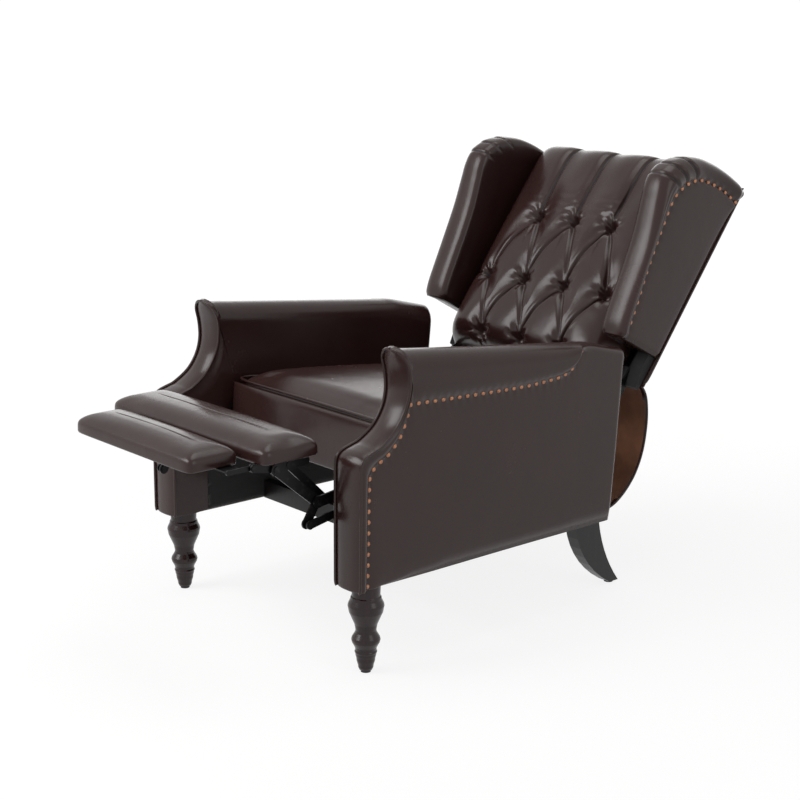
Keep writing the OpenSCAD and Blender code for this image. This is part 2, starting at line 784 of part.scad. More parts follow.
module seat_border() {
    notch = steer_x - link_r / 2;
    foot = border_z - seat_z;
    top = cushion_edge - border_t;
    color(leather) home() on_seat() translate([0, -seat_gap, 0]) rotate([90, 0, 0])
        linear_extrude(border_t) polygon([
            [-notch, foot], [notch, foot], [notch, -rail_h], [cushion_x, -rail_h],
            [cushion_x, top], [-cushion_x, top], [-cushion_x, -rail_h], [-notch, -rail_h]
        ]);
}

rail_in = cushion_x - rail_t - border_t;

module seat_side_rails() {
    color(plywood) home() on_seat() both_sides()
        box([rail_in, cushion_x], [rail_t + seat_gap, seat_d - rail_t - seat_gap], [-rail_h, 0]);
}

module seat_cross_rails() {
    color(plywood) home() on_seat() {
        box([-cushion_x, cushion_x], [0, rail_t], [-rail_h, 0]);
        box([-cushion_x, cushion_x], [seat_d - rail_t, seat_d], [-rail_h, 0]);
        box([-rail_in + seat_gap, rail_in - seat_gap], [seat_d / 2, seat_d / 2 + rail_t],
            [-rail_h, -rail_h / 2]);
    }
}

// A sinuous spring: straight bars across, joined by half rings at either end.
module seat_springs() {
    run = seat_d - rail_t;
    bends = 2 * round(run / (2 * rail_t));
    r = run / bends / 2;
    color(steel) home() on_seat() for (i = [0 : spring_n - 1])
        translate([(i - (spring_n - 1) / 2) * 2 * rail_in / (spring_n + 1 / 2), rail_t / 2, seat_gap / 3])
            linear_extrude(wire_t) for (k = [0 : bends - 1]) {
                if (k > 0) translate([-r, 2 * r * k - wire_t / 2]) square([2 * r, wire_t]);
                translate([(k % 2 == 0 ? 1 : -1) * r, r * (2 * k + 1)]) intersection() {
                    difference() {
                        circle(r = r + wire_t / 2);
                        circle(r = r - wire_t / 2);
                    }
                    translate([k % 2 == 0 ? 0 : -2 * r, -2 * r]) square([2 * r, 4 * r]);
                }
            }
}

module one_seat_plate() {
    front = seat_y - border_t - seat_gap * 2;
    rear = max(seat_y + seat_d - rail_t, hinge_q[0]);
    drop = (rear - front) * tan(seat_tilt);
    under = lift_z - link_r * 1.5;
    upright_plate(seat_plate_x, plate_t) difference() {
        union() {
            polygon([
                [front, under], [front, seat_z - link_r / 2], [rear, seat_z - link_r / 2 - drop],
                [rear, under]
            ]);
            translate(guide_p) circle(r = link_r);
            translate(swing_q) circle(r = link_r * 1.5);
            translate(hinge_q) circle(r = link_r * 1.5);
        }
        for (p = [lift_p, guide_p, swing_q, hinge_q]) pivot_hole(p);
        for (k = [0.25 : 0.25 : 0.75]) translate(swing_q + (hinge_q - swing_q) * k) circle(r = link_r * 0.7);
    }
}

module left_seat_plate() {
    color(steel) home() one_seat_plate();
}

module right_seat_plate() {
    color(steel) home() mirrored() one_seat_plate();
}

module seat_pins() {
    plate_out = seat_plate_x + plate_t;
    color(steel) home() both_sides() {
        rivet(swing_q, seat_plate_x, swing_x + link_t, false, true);
        rivet(hinge_q, seat_plate_x, swing_x + link_t, false, true);
        rivet(lift_p, lift_x, plate_out);
        rivet(guide_p, guide_x, plate_out);
    }
}

// Back

// A post, its foot cut back in front so that it clears the arm.
module one_back_post() {
    cut_share = 0.75;
    on_back() upright_plate(back_x - post_w, post_w) polygon([
        [0, post_foot], [0, shell_top], [-post_t, shell_top],
        [-post_t, post_foot * (1 + cut_share)], [-post_t / 2, post_foot]
    ]);
}

module left_back_post() {
    color(blackcloth) home() one_back_post();
}

module right_back_post() {
    color(blackcloth) home() mirrored() one_back_post();
}

bracket_top = back_h * 0.34;
bolt_share = [0.36, 0.6, 0.84];

module back_rails() {
    in_low = swing_x - seat_gap;
    in_high = back_x - post_w - seat_gap;
    color(blackcloth) home() on_back() {
        box([-in_low, in_low], [-post_t, 0], [seat_gap, post_foot + rail_h]);
        box([-in_high, in_high], [-post_t, 0], [back_h / 2, back_h / 2 + rail_h]);
        box([-in_high, in_high], [-post_t, 0], [shell_top - rail_h, shell_top]);
    }
}

// Distance of point p from the segment between a and b.
function off_line(p, a, b) = let(
        d = b - a,
        k = max(0, min(1, ((p - a) * d) / (d * d))))
    norm(p - a - k * d);

function bump(d, spread) = exp(-(d * d) / (2 * spread * spread));

// Height of the tufted face above the frame at width x and height h.
function tuft_face(x, h) = let(
        u = abs(x / tuft_x),
        v = (h - tuft_foot) / (back_h - tuft_foot),
        rim = pow(max(0, 1 - pow(u, 7)), 0.4) * pow(max(0, 1 - pow(abs(2 * v - 1), 9)), 0.42),
        dip = max([for (b = buttons) bump(norm([x, h] - b), tuft_spread)]),
        fold = max([for (f = fold_pairs) bump(off_line([x, h], buttons[f[0]], buttons[f[1]]), fold_spread)]),
        pleat = max([for (b = [for (i = [0 : 2]) buttons[i]])
            bump(off_line([x, h], b, [b[0], back_h]), fold_spread)]),
        side = max([for (i = [3, 6]) bump(off_line([x, h], buttons[i],
            [sign(buttons[i][0]) * tuft_x, buttons[i][1]]), fold_spread)]),
        deep = max(dip, fold_share * max(fold, pleat, side)))
    rim * (tuft_t - tuft_depth * deep);

tuft_nx = 30;
tuft_nz = 30;

// Even spacing drawn towards the edges, where the form turns.
function crowded(k) = 0.55 * k + 0.45 * (1 - cos(180 * k)) / 2;

tuft_xs = [for (i = [0 : tuft_nx]) tuft_x * (2 * crowded(i / tuft_nx) - 1)];
tuft_hs = [for (j = [0 : tuft_nz]) tuft_foot + (back_h - tuft_foot) * crowded(j / tuft_nz)];

module tufted_form() {
    back = -post_t - seat_gap;
    pts = [for (h = tuft_hs, x = tuft_xs) [x, back - tuft_face(x, h), h]];
    w = tuft_nx + 1;
    face = [for (j = [0 : tuft_nz - 1], i = [0 : tuft_nx - 1]) let(a = j * w + i)
        each [[a, a + w, a + w + 1], [a, a + w + 1, a + 1]]];
    rim = concat(
        [for (i = [0 : tuft_nx - 1]) i],
        [for (j = [0 : tuft_nz - 1]) j * w + tuft_nx],
        [for (i = [tuft_nx : -1 : 1]) tuft_nz * w + i],
        [for (j = [tuft_nz : -1 : 1]) j * w]
    );
    n = len(rim);
    centre = len(pts);
    fan = [for (k = [0 : n - 1]) [centre, rim[k], rim[(k + 1) % n]]];
    polyhedron(points = concat(pts, [[0, back, (tuft_foot + back_h) / 2]]), faces = concat(face, fan));
}

// Height of the pad's flat facets, on which a button lies.
function facet_face(x, h) = let(
        i = cell_of(x, tuft_xs),
        j = cell_of(h, tuft_hs),
        u = (x - tuft_xs[i]) / (tuft_xs[i + 1] - tuft_xs[i]),
        v = (h - tuft_hs[j]) / (tuft_hs[j + 1] - tuft_hs[j]),
        low = tuft_face(tuft_xs[i], tuft_hs[j]),
        high = tuft_face(tuft_xs[i + 1], tuft_hs[j + 1]),
        turn = v > u ? tuft_face(tuft_xs[i], tuft_hs[j + 1]) : tuft_face(tuft_xs[i + 1], tuft_hs[j]))
    v > u ? low + v * (turn - low) + u * (high - turn) : low + u * (turn - low) + v * (high - turn);

function cell_of(x, list, i = 0) = x < list[i + 1] || i >= len(list) - 2 ? i : cell_of(x, list, i + 1);

function button_seat(b) = max([for (k = [0 : 2], a = [0 : 15 : 345])
    facet_face(b[0] + button_r * k / 2 * cos(a), b[1] + button_r * k / 2 * sin(a))]);

module back_pad() {
    color(leather) home() on_back() tufted_form();
}

module back_buttons() {
    dome = [for (a = [0 : 18 : 90]) [button_r * cos(a), button_r * 0.5 * sin(a)]];
    color(leather) home() on_back()
        for (b = buttons) translate([b[0], -post_t - 2 * seat_gap - button_seat(b), b[1]])
            rotate([90, 0, 0]) rotate_extrude($fn = 32) polygon(concat([[0, 0]], dome));
}

// One level of a wing: flat side panel, rolled front edge and padded inner face, notched round the post.
function wing_ring(h, reach) = let(
        post = post_t + seat_gap,
        soft = min(reach * 0.3, wing_roll),
        from = reach - soft,
        roll = [for (a = [0 : 22.5 : 180]) [
            (wing_x + wing_in + wing_flare) / 2 + (wing_x - wing_in + wing_flare) / 2 * cos(a),
            from + soft * sin(a)]],
        flat = [[back_x + seat_gap, 0], [wing_x, 0], [wing_x, from]],
        inner = [[wing_in, (from + post) / 2], [wing_in, post], [back_x + seat_gap, post]])
    [for (p = concat(flat, roll, inner)) [p[0], -p[1], h]];

module one_wing() {
    on_back() skin([for (s = wing_share) wing_ring(s[0] * back_h, s[1] * wing_reach)]);
}

module left_wing() {
    color(leather) home() one_wing();
}

module right_wing() {
    color(leather) home() mirrored() one_wing();
}

module one_wing_nails() {
    on_back() for (p = spaced(wing_trim, wing_nail_step)) nail(wing_x, [-p[0], p[1]]);
}

module left_wing_nails() {
    color(copper) home() one_wing_nails();
}

module right_wing_nails() {
    color(copper) home() mirrored() one_wing_nails();
}

module outside_back() {
    foot = post_foot + skirt_t * 3;
    color(leather) home() on_back()
        box([-wing_x, wing_x], [seat_gap, seat_gap + shell_t], [foot, shell_top]);
}

module one_back_bracket() {
    low = back_pt(post_t / 2, post_foot + link_r);
    high = back_pt(post_t / 2, bracket_top);
    bolts = [for (k = bolt_share) low + (high - low) * k];
    upright_plate(swing_x, link_t) difference() {
        union() {
            strap(hinge_p, hinge_q, link_r * 1.6);
            strap(hinge_q, low, post_t / 2 - seat_gap);
            strap(low, high, post_t / 2 - seat_gap);
        }
        pivot_hole(hinge_p);
        pivot_hole(hinge_q);
        for (p = bolts) translate(p) circle(r = pin_r);
    }
}

module left_back_bracket() {
    color(steel) home() one_back_bracket();
}

module right_back_bracket() {
    color(steel) home() mirrored() one_back_bracket();
}

module back_bolts() {
    low = back_pt(post_t / 2, post_foot + link_r);
    high = back_pt(post_t / 2, bracket_top);
    color(steel) home() both_sides() for (k = bolt_share) let(p = low + (high - low) * k)
        translate([swing_x - bolt_h, p[0], p[1]]) rotate([0, 90, 0]) {
            cylinder(h = bolt_h - seat_gap / 3, r = bolt_r, $fn = 6);
            cylinder(h = bolt_h + link_t, r = pin_r - fit_gap);
        }
}

// Footrest linkage

module one_lift_link() {
    upright_plate(lift_x, link_t) difference() {
        strap(lift_p, knee_p, link_r);
        for (p = [lift_p, knee_p, steer_p]) pivot_hole(p);
    }
}

module left_lift_link() {
    color(steel) home() one_lift_link();
}

module right_lift_link() {
    color(steel) home() mirrored() one_lift_link();
}

module lift_pins() {
    color(steel) home() both_sides() {
        rivet(knee_p, reach_x, lift_x + link_t);
        rivet(steer_p, steer_x, lift_x + link_t);
    }
}

module one_reach_link() {
    upright_plate(reach_x, link_t) difference() {
        union() {
            strap(knee_p, reach_p, link_r);
            strap(knee_p, tail_p, link_r * 0.9);
        }
        for (p = [knee_p, reach_p, tail_p]) pivot_hole(p);
    }
}

module left_reach_link() {
    color(steel) home() one_reach_link();
}

module right_reach_link() {
    color(steel) home() mirrored() one_reach_link();
}

module reach_pins() {
    color(steel) home() both_sides() {
        rivet(reach_p, bracket_x, reach_x + link_t);
        rivet(tail_p, reach_x, guide_x + link_t);
    }
}

module guide_links() {
    color(steel) home() both_sides() upright_plate(guide_x, link_t) difference() {
        strap(guide_p, tail_p, link_r * 0.75);
        pivot_hole(guide_p);
        pivot_hole(tail_p, open_gap);
    }
}

module steering_links() {
    color(steel) home() both_sides() upright_plate(steer_x, link_t) difference() {
        strap(steer_p, crank_p, link_r * 0.72);
        pivot_hole(steer_p);
        pivot_hole(crank_p, open_gap);
    }
}

// Footrest

board_z = pad_z - seat_gap - board_t;
tab_t = plate_t;

module padded_rest(hx, front, rear, z) {
    half = (front - rear) / 2;
    translate([0, -(front + rear) / 2, z]) skin(pillow(hx, half, pad_edge, pad_crown, 48, 0.3));
}

module footrest_pad() {
    color(leather) home() padded_rest(pad_x, pad_front, pad_rear, pad_z);
}

module footrest_board() {
    inset = board_t;
    color(plywood) home()
        box([-pad_x + inset, pad_x - inset], [-pad_front + inset, -pad_rear - inset / 2],
            [board_z, board_z + board_t]);
}

module one_footrest_bracket() {
    top = board_z - seat_gap;
    tail = [-pad_rear - link_r * 2, top - link_r];
    upright_plate(bracket_x, link_t) difference() {
        union() {
            strap(flap_p, reach_p, link_r * 0.7);
            strap(reach_p, crank_p, link_r * 0.9);
            strap(crank_p, tail, link_r * 0.8);
            translate([reach_p[0], top - link_r]) square([tail[0] - reach_p[0], link_r]);
        }
        for (p = [flap_p, reach_p, crank_p]) pivot_hole(p);
    }
    box([bracket_x - rail_t, bracket_x + link_t], [reach_p[0] + link_r * 1.5, tail[0]], [top - tab_t, top]);
}

module left_footrest_bracket() {
    color(steel) home() one_footrest_bracket();
}

module right_footrest_bracket() {
    color(steel) home() mirrored() one_footrest_bracket();
}

module footrest_pins() {
    color(steel) home() both_sides() {
        rivet(crank_p, steer_x, bracket_x + link_t);
        rivet(flap_p, steer_x, bracket_x + link_t);
    }
}

module folding_pad() {
    color(leather) home() padded_rest(flap_x, flap_front, pad_front + flap_gap, flap_z);
}

module folding_board() {
    inset = board_t;
    top = flap_z - seat_gap;
    color(plywood) home()
        box([-flap_x + inset, flap_x - inset], [-flap_front + inset, -pad_front - flap_gap - inset / 2],
            [top - board_t, top]);
}

module folding_hinges() {
    top = flap_z - seat_gap - board_t - seat_gap;
    far = flap_hinge_y + rail_t * 2.5;
    near = flap_hinge_y + rail_t;
    color(steel) home() both_sides() {
        upright_plate(steer_x, link_t) difference() {
            union() {
                translate(flap_p) circle(r = link_r * 0.7);
                strap(flap_p, [-far, flap_hinge_z], link_r * 0.42);
            }
            pivot_hole(flap_p);
        }
        box([flap_x - rail_t * 1.6, steer_x + link_t], [-far, -near], [top - tab_t, top]);
    }
}

left_arm();
right_arm();
left_arm_front();
right_arm_front();
left_arm_nails();
right_arm_nails();
left_front_leg();
right_front_leg();
left_rear_leg();
right_rear_leg();
leg_glides();
front_stretcher();
rear_rail();
corner_blocks();
left_base_plate();
right_base_plate();
base_pins();
base_bolts();
rear_flap();
left_swing_link();
right_swing_link();
seat_cushion();
seat_border();
seat_side_rails();
seat_cross_rails();
seat_springs();
left_seat_plate();
right_seat_plate();
seat_pins();
left_back_post();
right_back_post();
back_rails();
back_pad();
back_buttons();
left_wing();
right_wing();
left_wing_nails();
right_wing_nails();
outside_back();
left_back_bracket();
right_back_bracket();
back_bolts();
left_lift_link();
right_lift_link();
lift_pins();
left_reach_link();
right_reach_link();
reach_pins();
guide_links();
steering_links();
footrest_pad();
footrest_board();
left_footrest_bracket();
right_footrest_bracket();
footrest_pins();
folding_pad();
folding_board();
folding_hinges();
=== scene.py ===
"""Looks of a leaned-back wingback recliner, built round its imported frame.

Sizes are in millimetres of the chair's own measuring frame: x to the sitter's left, y back from the front
faces of the arms, z up from the floor. `to_row` turns such points into metres of the row frame.
"""

from __future__ import annotations

import json
import logging
import math
from dataclasses import dataclass, field
from enum import Enum
from typing import Callable, Sequence

import bmesh
import bpy
import numpy as np
from mathutils import Matrix

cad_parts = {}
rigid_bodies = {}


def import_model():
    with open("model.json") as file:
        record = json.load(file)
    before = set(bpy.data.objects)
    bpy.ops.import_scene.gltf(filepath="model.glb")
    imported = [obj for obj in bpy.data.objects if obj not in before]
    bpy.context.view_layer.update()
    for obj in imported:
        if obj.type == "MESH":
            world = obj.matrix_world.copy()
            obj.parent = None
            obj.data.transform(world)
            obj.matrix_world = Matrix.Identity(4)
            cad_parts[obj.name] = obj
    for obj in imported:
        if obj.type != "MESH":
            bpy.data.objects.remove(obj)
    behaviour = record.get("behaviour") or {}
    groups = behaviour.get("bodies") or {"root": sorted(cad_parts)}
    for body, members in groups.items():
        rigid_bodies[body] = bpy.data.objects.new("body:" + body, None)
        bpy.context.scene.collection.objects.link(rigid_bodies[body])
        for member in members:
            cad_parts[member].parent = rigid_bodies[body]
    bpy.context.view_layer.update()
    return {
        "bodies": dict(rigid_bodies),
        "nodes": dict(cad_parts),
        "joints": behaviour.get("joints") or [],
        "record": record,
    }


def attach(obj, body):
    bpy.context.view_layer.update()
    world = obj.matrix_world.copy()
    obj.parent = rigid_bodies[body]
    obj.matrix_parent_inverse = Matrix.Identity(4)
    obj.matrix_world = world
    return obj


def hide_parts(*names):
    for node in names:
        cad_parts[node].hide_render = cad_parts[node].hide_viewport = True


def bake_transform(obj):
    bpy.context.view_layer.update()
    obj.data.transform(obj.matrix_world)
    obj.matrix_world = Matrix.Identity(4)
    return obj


LOG = logging.getLogger("recliner")
MM = 0.001
# Distance in metres below which a loop's points become one.
MERGE = 2e-5
# Depth of the row frame's origin in the measuring frame, in millimetres.
ROW_SHIFT_Y = 438.2146
Array = np.ndarray
Triple = tuple[float, float, float]


class Side(Enum):
    """Side of the chair, as the sitter names it; the value is the sign of x."""

    LEFT = 1
    RIGHT = -1

    @property
    def word(self) -> str:
        """The side's name in lower case."""
        return self.name.lower()

    def mirror(self, points: Array) -> Array:
        """Points drawn on the left side, on this side."""
        return points * np.array([self.value, 1, 1])

    @property
    def outward(self) -> Array:
        """Unit vector out of this side."""
        return np.array([self.value, 0.0, 0.0])


# Numbers and curves


def to_row(points: Array) -> Array:
    """Millimetres of the measuring frame as metres of the row frame.

    Args:
        points: Any array whose last axis is x, y, z.

    Returns:
        The same array shifted to the row's origin and scaled.
    """
    return (np.asarray(points, float) - np.array([0.0, ROW_SHIFT_Y, 0.0])) * MM


def ease(x: Array) -> Array:
    """Smooth step: 3x^2 - 2x^3 with x held between 0 and 1."""
    x = np.clip(x, 0.0, 1.0)
    return x * x * (3.0 - 2.0 * x)


def bell(x: Array, width: float) -> Array:
    """Gauss bell of height 1 round 0: exp(-(x / width)^2 / 2)."""
    return np.exp(-0.5 * (np.asarray(x) / width) ** 2)


def arch(q: Array, power: float) -> Array:
    """Quarter of a superellipse that rises from 0 at q = 0 to 1 at q = 1: (1 - (1 - q)^p)^(1/p)."""
    q = np.clip(q, 0.0, 1.0)
    return (1.0 - (1.0 - q) ** power) ** (1.0 / power)


def through(knots: Array, step: float) -> tuple[Array, Array]:
    """Smooth curve through knots by Catmull-Rom pieces, each cut to about the given step.

    Args:
        knots: k by d array; the first two columns are the place that sets the number of cuts.
        step: Wanted distance between points.

    Returns:
        The n by d points, and the knot number that each lies at, as a float.
    """
    k = np.asarray(knots, float)
    before = np.vstack([2 * k[0] - k[1], k[:-2]]) if len(k) > 2 else 2 * k[:1] - k[1:2]
    after = np.vstack([k[2:], 2 * k[-1] - k[-2]]) if len(k) > 2 else 2 * k[1:] - k[:1]
    counts = np.maximum(np.ceil(np.linalg.norm(np.diff(k[:, :2], axis=0), axis=1) / step).astype(int), 1)
    seg = np.repeat(np.arange(len(counts)), counts)
    t = (np.arange(len(seg)) - np.repeat(np.cumsum(counts) - counts, counts)) / counts[seg]
    a, b, c, d = before[seg], k[seg], k[seg + 1], after[seg]
    u = t[:, None]
    points = 0.5 * (2 * b + (c - a) * u + (2 * a - 5 * b + 4 * c - d) * u**2 + (3 * b - a - 3 * c + d) * u**3)
    return np.vstack([points, k[-1]]), np.append(seg + t, len(k) - 1.0)


def run_length(points: Array) -> Array:
    """Distance along a polyline to each of its points."""
    return np.concatenate([[0.0], np.cumsum(np.linalg.norm(np.diff(points, axis=0), axis=1))])


def respaced(points: Array, step: float) -> Array:
    """The same polyline with points spread evenly, about a step apart.

    Args:
        points: n by d polyline.
        step: Wanted distance between points.

    Returns:
        The evenly spread points, first and last kept.
    """
    run = run_length(points)
    want = np.linspace(0.0, run[-1], max(int(round(run[-1] / step)), 1) + 1)
    return np.stack([np.interp(want, run, points[:, i]) for i in range(points.shape[1])], axis=1)


def pucker_at(run: Array, step: float) -> Array:
    """How strongly nails, one at each step, pull the leather in: 1 at a nail and 0.2 between two."""
    return 0.6 + 0.4 * np.cos(2 * np.pi * run / step)


def pillow(u: Array, v: Array, square_u: float, square_v: float, power: float) -> Array:
    """A pillow's height, 1 in the middle and 0 at the rim, for u and v from -1 to 1.

    It is (1 - |u|^a)^p (1 - |v|^b)^p, with a and b as the squareness each way and p as the power.
    """
    return (1 - np.abs(u) ** square_u) ** power * (1 - np.abs(v) ** square_v) ** power


def ripple(shape: tuple[int, ...], waves: Sequence[tuple[float, float, float]], u: Array, v: Array) -> Array:
    """Sum of a few slanted sine waves, for the slight unevenness of stretched leather.

    Args:
        shape: Shape of the result.
        waves: For each wave its count along u, its count along v and its phase.
        u: Place along the first direction, 0 to 1.
        v: Place along the second direction, 0 to 1.

    Returns:
        Values between -1 and 1.
    """
    total = np.zeros(shape)
    for a, b, phase in waves:
        total += np.sin(2 * np.pi * (a * u + b * v + phase))
    return total / max(len(waves), 1)


# Meshes


def grid_faces(rows: int, columns: int, close_rows: bool = False, close_columns: bool = False) -> Array:
    """Quads of a grid whose vertex (i, j) has the number i * columns + j.

    Args:
        rows: Number of rows.
        columns: Number of columns.
        close_rows: Whether the last row joins the first.
        close_columns: Whether the last column joins the first.

    Returns:
        m by 4 array of vertex numbers.
    """
    i = np.arange(rows if close_rows else rows - 1)[:, None]
    j = np.arange(columns if close_columns else columns - 1)[None, :]
    i2, j2 = (i + 1) % rows, (j + 1) % columns
    corners = [i * columns + j, i * columns + j2, i2 * columns + j2, i2 * columns + j]
    return np.stack(corners, axis=-1).reshape(-1, 4)


def build(
    name: str, points: Array, faces: list[list[int]], merge: float = 0.0, fold: Array | None = None
) -> bpy.types.Object:
    """A smooth closed mesh object at the origin, with its faces turned outwards.

    Args:
        name: Name of the piece.
        points: Vertices in metres of the row frame.
        faces: Vertex numbers of each face.
        merge: Distance below which vertices become one; 0 keeps them all.
        fold: How deep in a fold each vertex lies, for the leather's painted shade in creases.

    Returns:
        The linked object.
    """
    mesh = bpy.data.meshes.new(name)
    mesh.from_pydata(points.reshape(-1, 3).tolist(), [], faces)
    if fold is not None:
        # Painted shade of the creases, kept on the mesh for the leather's colour.
        painted_fold_shade = mesh.attributes.new("fold", "FLOAT", "POINT")
        painted_fold_shade.data.foreach_set("value", np.asarray(fold, np.float32).ravel())
    work = bmesh.new()
    work.from_mesh(mesh)
    if merge:
        bmesh.ops.remove_doubles(work, verts=work.verts, dist=merge)
        bmesh.ops.dissolve_degenerate(work, edges=work.edges, dist=merge / 4)
    bmesh.ops.recalc_face_normals(work, faces=work.faces)
    if work.calc_volume(signed=True) < 0:
        bmesh.ops.reverse_faces(work, faces=work.faces)
    work.to_mesh(mesh)
    work.free()
    smooth(mesh)
    thing = bpy.data.objects.new(name, mesh)
    bpy.context.scene.collection.objects.link(thing)
    return thing


def smooth(mesh: bpy.types.Mesh) -> None:
    """Shades all faces of a mesh smooth."""
    mesh.polygons.foreach_set("use_smooth", np.ones(len(mesh.polygons), bool))


def along(curve: Array) -> Array:
    """Unit tangents of a polyline at its points."""
    tangent = np.gradient(curve, axis=0)
    return tangent / np.linalg.norm(tangent, axis=1, keepdims=True)


def left_normals(curve: Array) -> Array:
    """Unit normals of a flat polyline, a quarter turn to the left of its tangents."""
    tangent = along(curve)
    return np.stack([-tangent[:, 1], tangent[:, 0]], axis=1)


def capped_loop(name: str, points: Array, fold: Array | None = None) -> bpy.types.Object:
    """A closed skin from loops: rows go round it, columns go along it, and each end is pulled shut.

    Args:
        name: Name of the piece.
        points: rows by columns by 3 array in millimetres of the measuring frame.
        fold: rows by columns, how deep in a fold each point lies, for the painted shade in creases.

    Returns:
        The linked object.
    """
    first, last = points[:, :1].mean(0, keepdims=True), points[:, -1:].mean(0, keepdims=True)
    full = np.concatenate([np.repeat(first, len(points), 0), points, np.repeat(last, len(points), 0)], axis=1)
    faces = grid_faces(full.shape[0], full.shape[1], close_rows=True)
    painted_fold_shade = None if fold is None else np.pad(fold, ((0, 0), (1, 1)))
    return build(name, to_row(full), faces.tolist(), MERGE, painted_fold_shade)


def tube(name: str, path: Array, radius: float, sides: int = 10, closed: bool = False) -> bpy.types.Object:
    """A round bead along a path, such as piping: each point carries a ring square to the path.

    Args:
        name: Name of the piece.
        path: n by 3 points in millimetres of the measuring frame.
        radius: Radius of the bead in millimetres.
        sides: Number of sides of a ring.
        closed: Whether the path joins up with itself.

    Returns:
        The linked object.
    """
    ahead = np.roll(path, -1, 0) if closed else np.vstack([path[1:], 2 * path[-1] - path[-2]])
    behind = np.roll(path, 1, 0) if closed else np.vstack([2 * path[0] - path[1], path[:-1]])
    tangent = ahead - behind
    tangent /= np.linalg.norm(tangent, axis=1, keepdims=True)
    spread = np.abs(tangent).sum(0)
    steady = np.eye(3)[int(np.argmin(spread))]
    side = np.cross(tangent, steady)
    side /= np.linalg.norm(side, axis=1, keepdims=True)
    up = np.cross(side, tangent)
    a = np.linspace(0, 2 * np.pi, sides, endpoint=False)[:, None, None]
    rings = path[None] + radius * (np.cos(a) * side[None] + np.sin(a) * up[None])
    if not closed:
        return capped_loop(name, rings)
    faces = grid_faces(rings.shape[0], rings.shape[1], close_rows=True, close_columns=True)
    return build(name, to_row(rings), faces.tolist(), MERGE)


def soft_rings(
    half: tuple[float, float], levels: Sequence[tuple[float, float]], sides: int, square: float
) -> Array:
    """Rings of a pad: at each level a superellipse |x/a|^(2/s) + |y/b|^(2/s) = 1, drawn in by an inset.

    Its points are spread evenly round the widest ring.

    Args:
        half: Half sizes a and b in millimetres.
        levels: For each ring its inset and its height, both in millimetres.
        sides: Number of points in a ring.
        square: The exponent s; smaller is squarer.

    Returns:
        sides by levels by 3 array.
    """
    turn = np.exp(1j * np.linspace(0, 2 * np.pi, 40001))
    unit = np.stack([np.sign(v) * np.abs(v) ** square for v in (turn.real, turn.imag)], axis=1)
    run = run_length(unit * half)
    want = np.linspace(0, run[-1], sides, endpoint=False)
    wide, deep = (np.interp(want, run, unit[:, i])[:, None] for i in (0, 1))
    inset, height = np.array(levels, float).T[:, None, :]
    x = wide * np.maximum(half[0] - inset, 0.5)
    y = deep * np.maximum(half[1] - inset, 0.5)
    return np.stack([x, y, np.broadcast_to(height, x.shape)], axis=-1)


# Shader kit


def operator(operation: str, swapped: bool = False) -> Callable[["Number", "Number | float"], "Number"]:
    """Makes one of Number's operators.

    Args:
        operation: Blender's name of the Math node's operation.
        swapped: Whether the other value comes first.

    Returns:
        A method that adds the Math node.
    """

    def apply(self: "Number", other: "Number | float") -> "Number":
        """Adds the Math node over both values."""
        first, second = (other, self) if swapped else (self, other)
        return self.kit.number("ShaderNodeMath", 0, {0: first, 1: second}, operation=operation)

    return apply


class Number:
    """A socket that carries a number; Python's operators on it add Math nodes."""

    __add__, __radd__ = operator("ADD"), operator("ADD", swapped=True)
    __sub__, __mul__ = operator("SUBTRACT"), operator("MULTIPLY")

    def __init__(self, kit: "Kit", socket: bpy.types.NodeSocket) -> None:
        self.kit, self.socket = kit, socket

    def above(self, low: float, high: float) -> "Number":
        """0 up to low, 1 from high, and a straight ramp between."""
        return self.kit.number("ShaderNodeMapRange", 0, {0: self, 1: low, 2: high}, clamp=True)


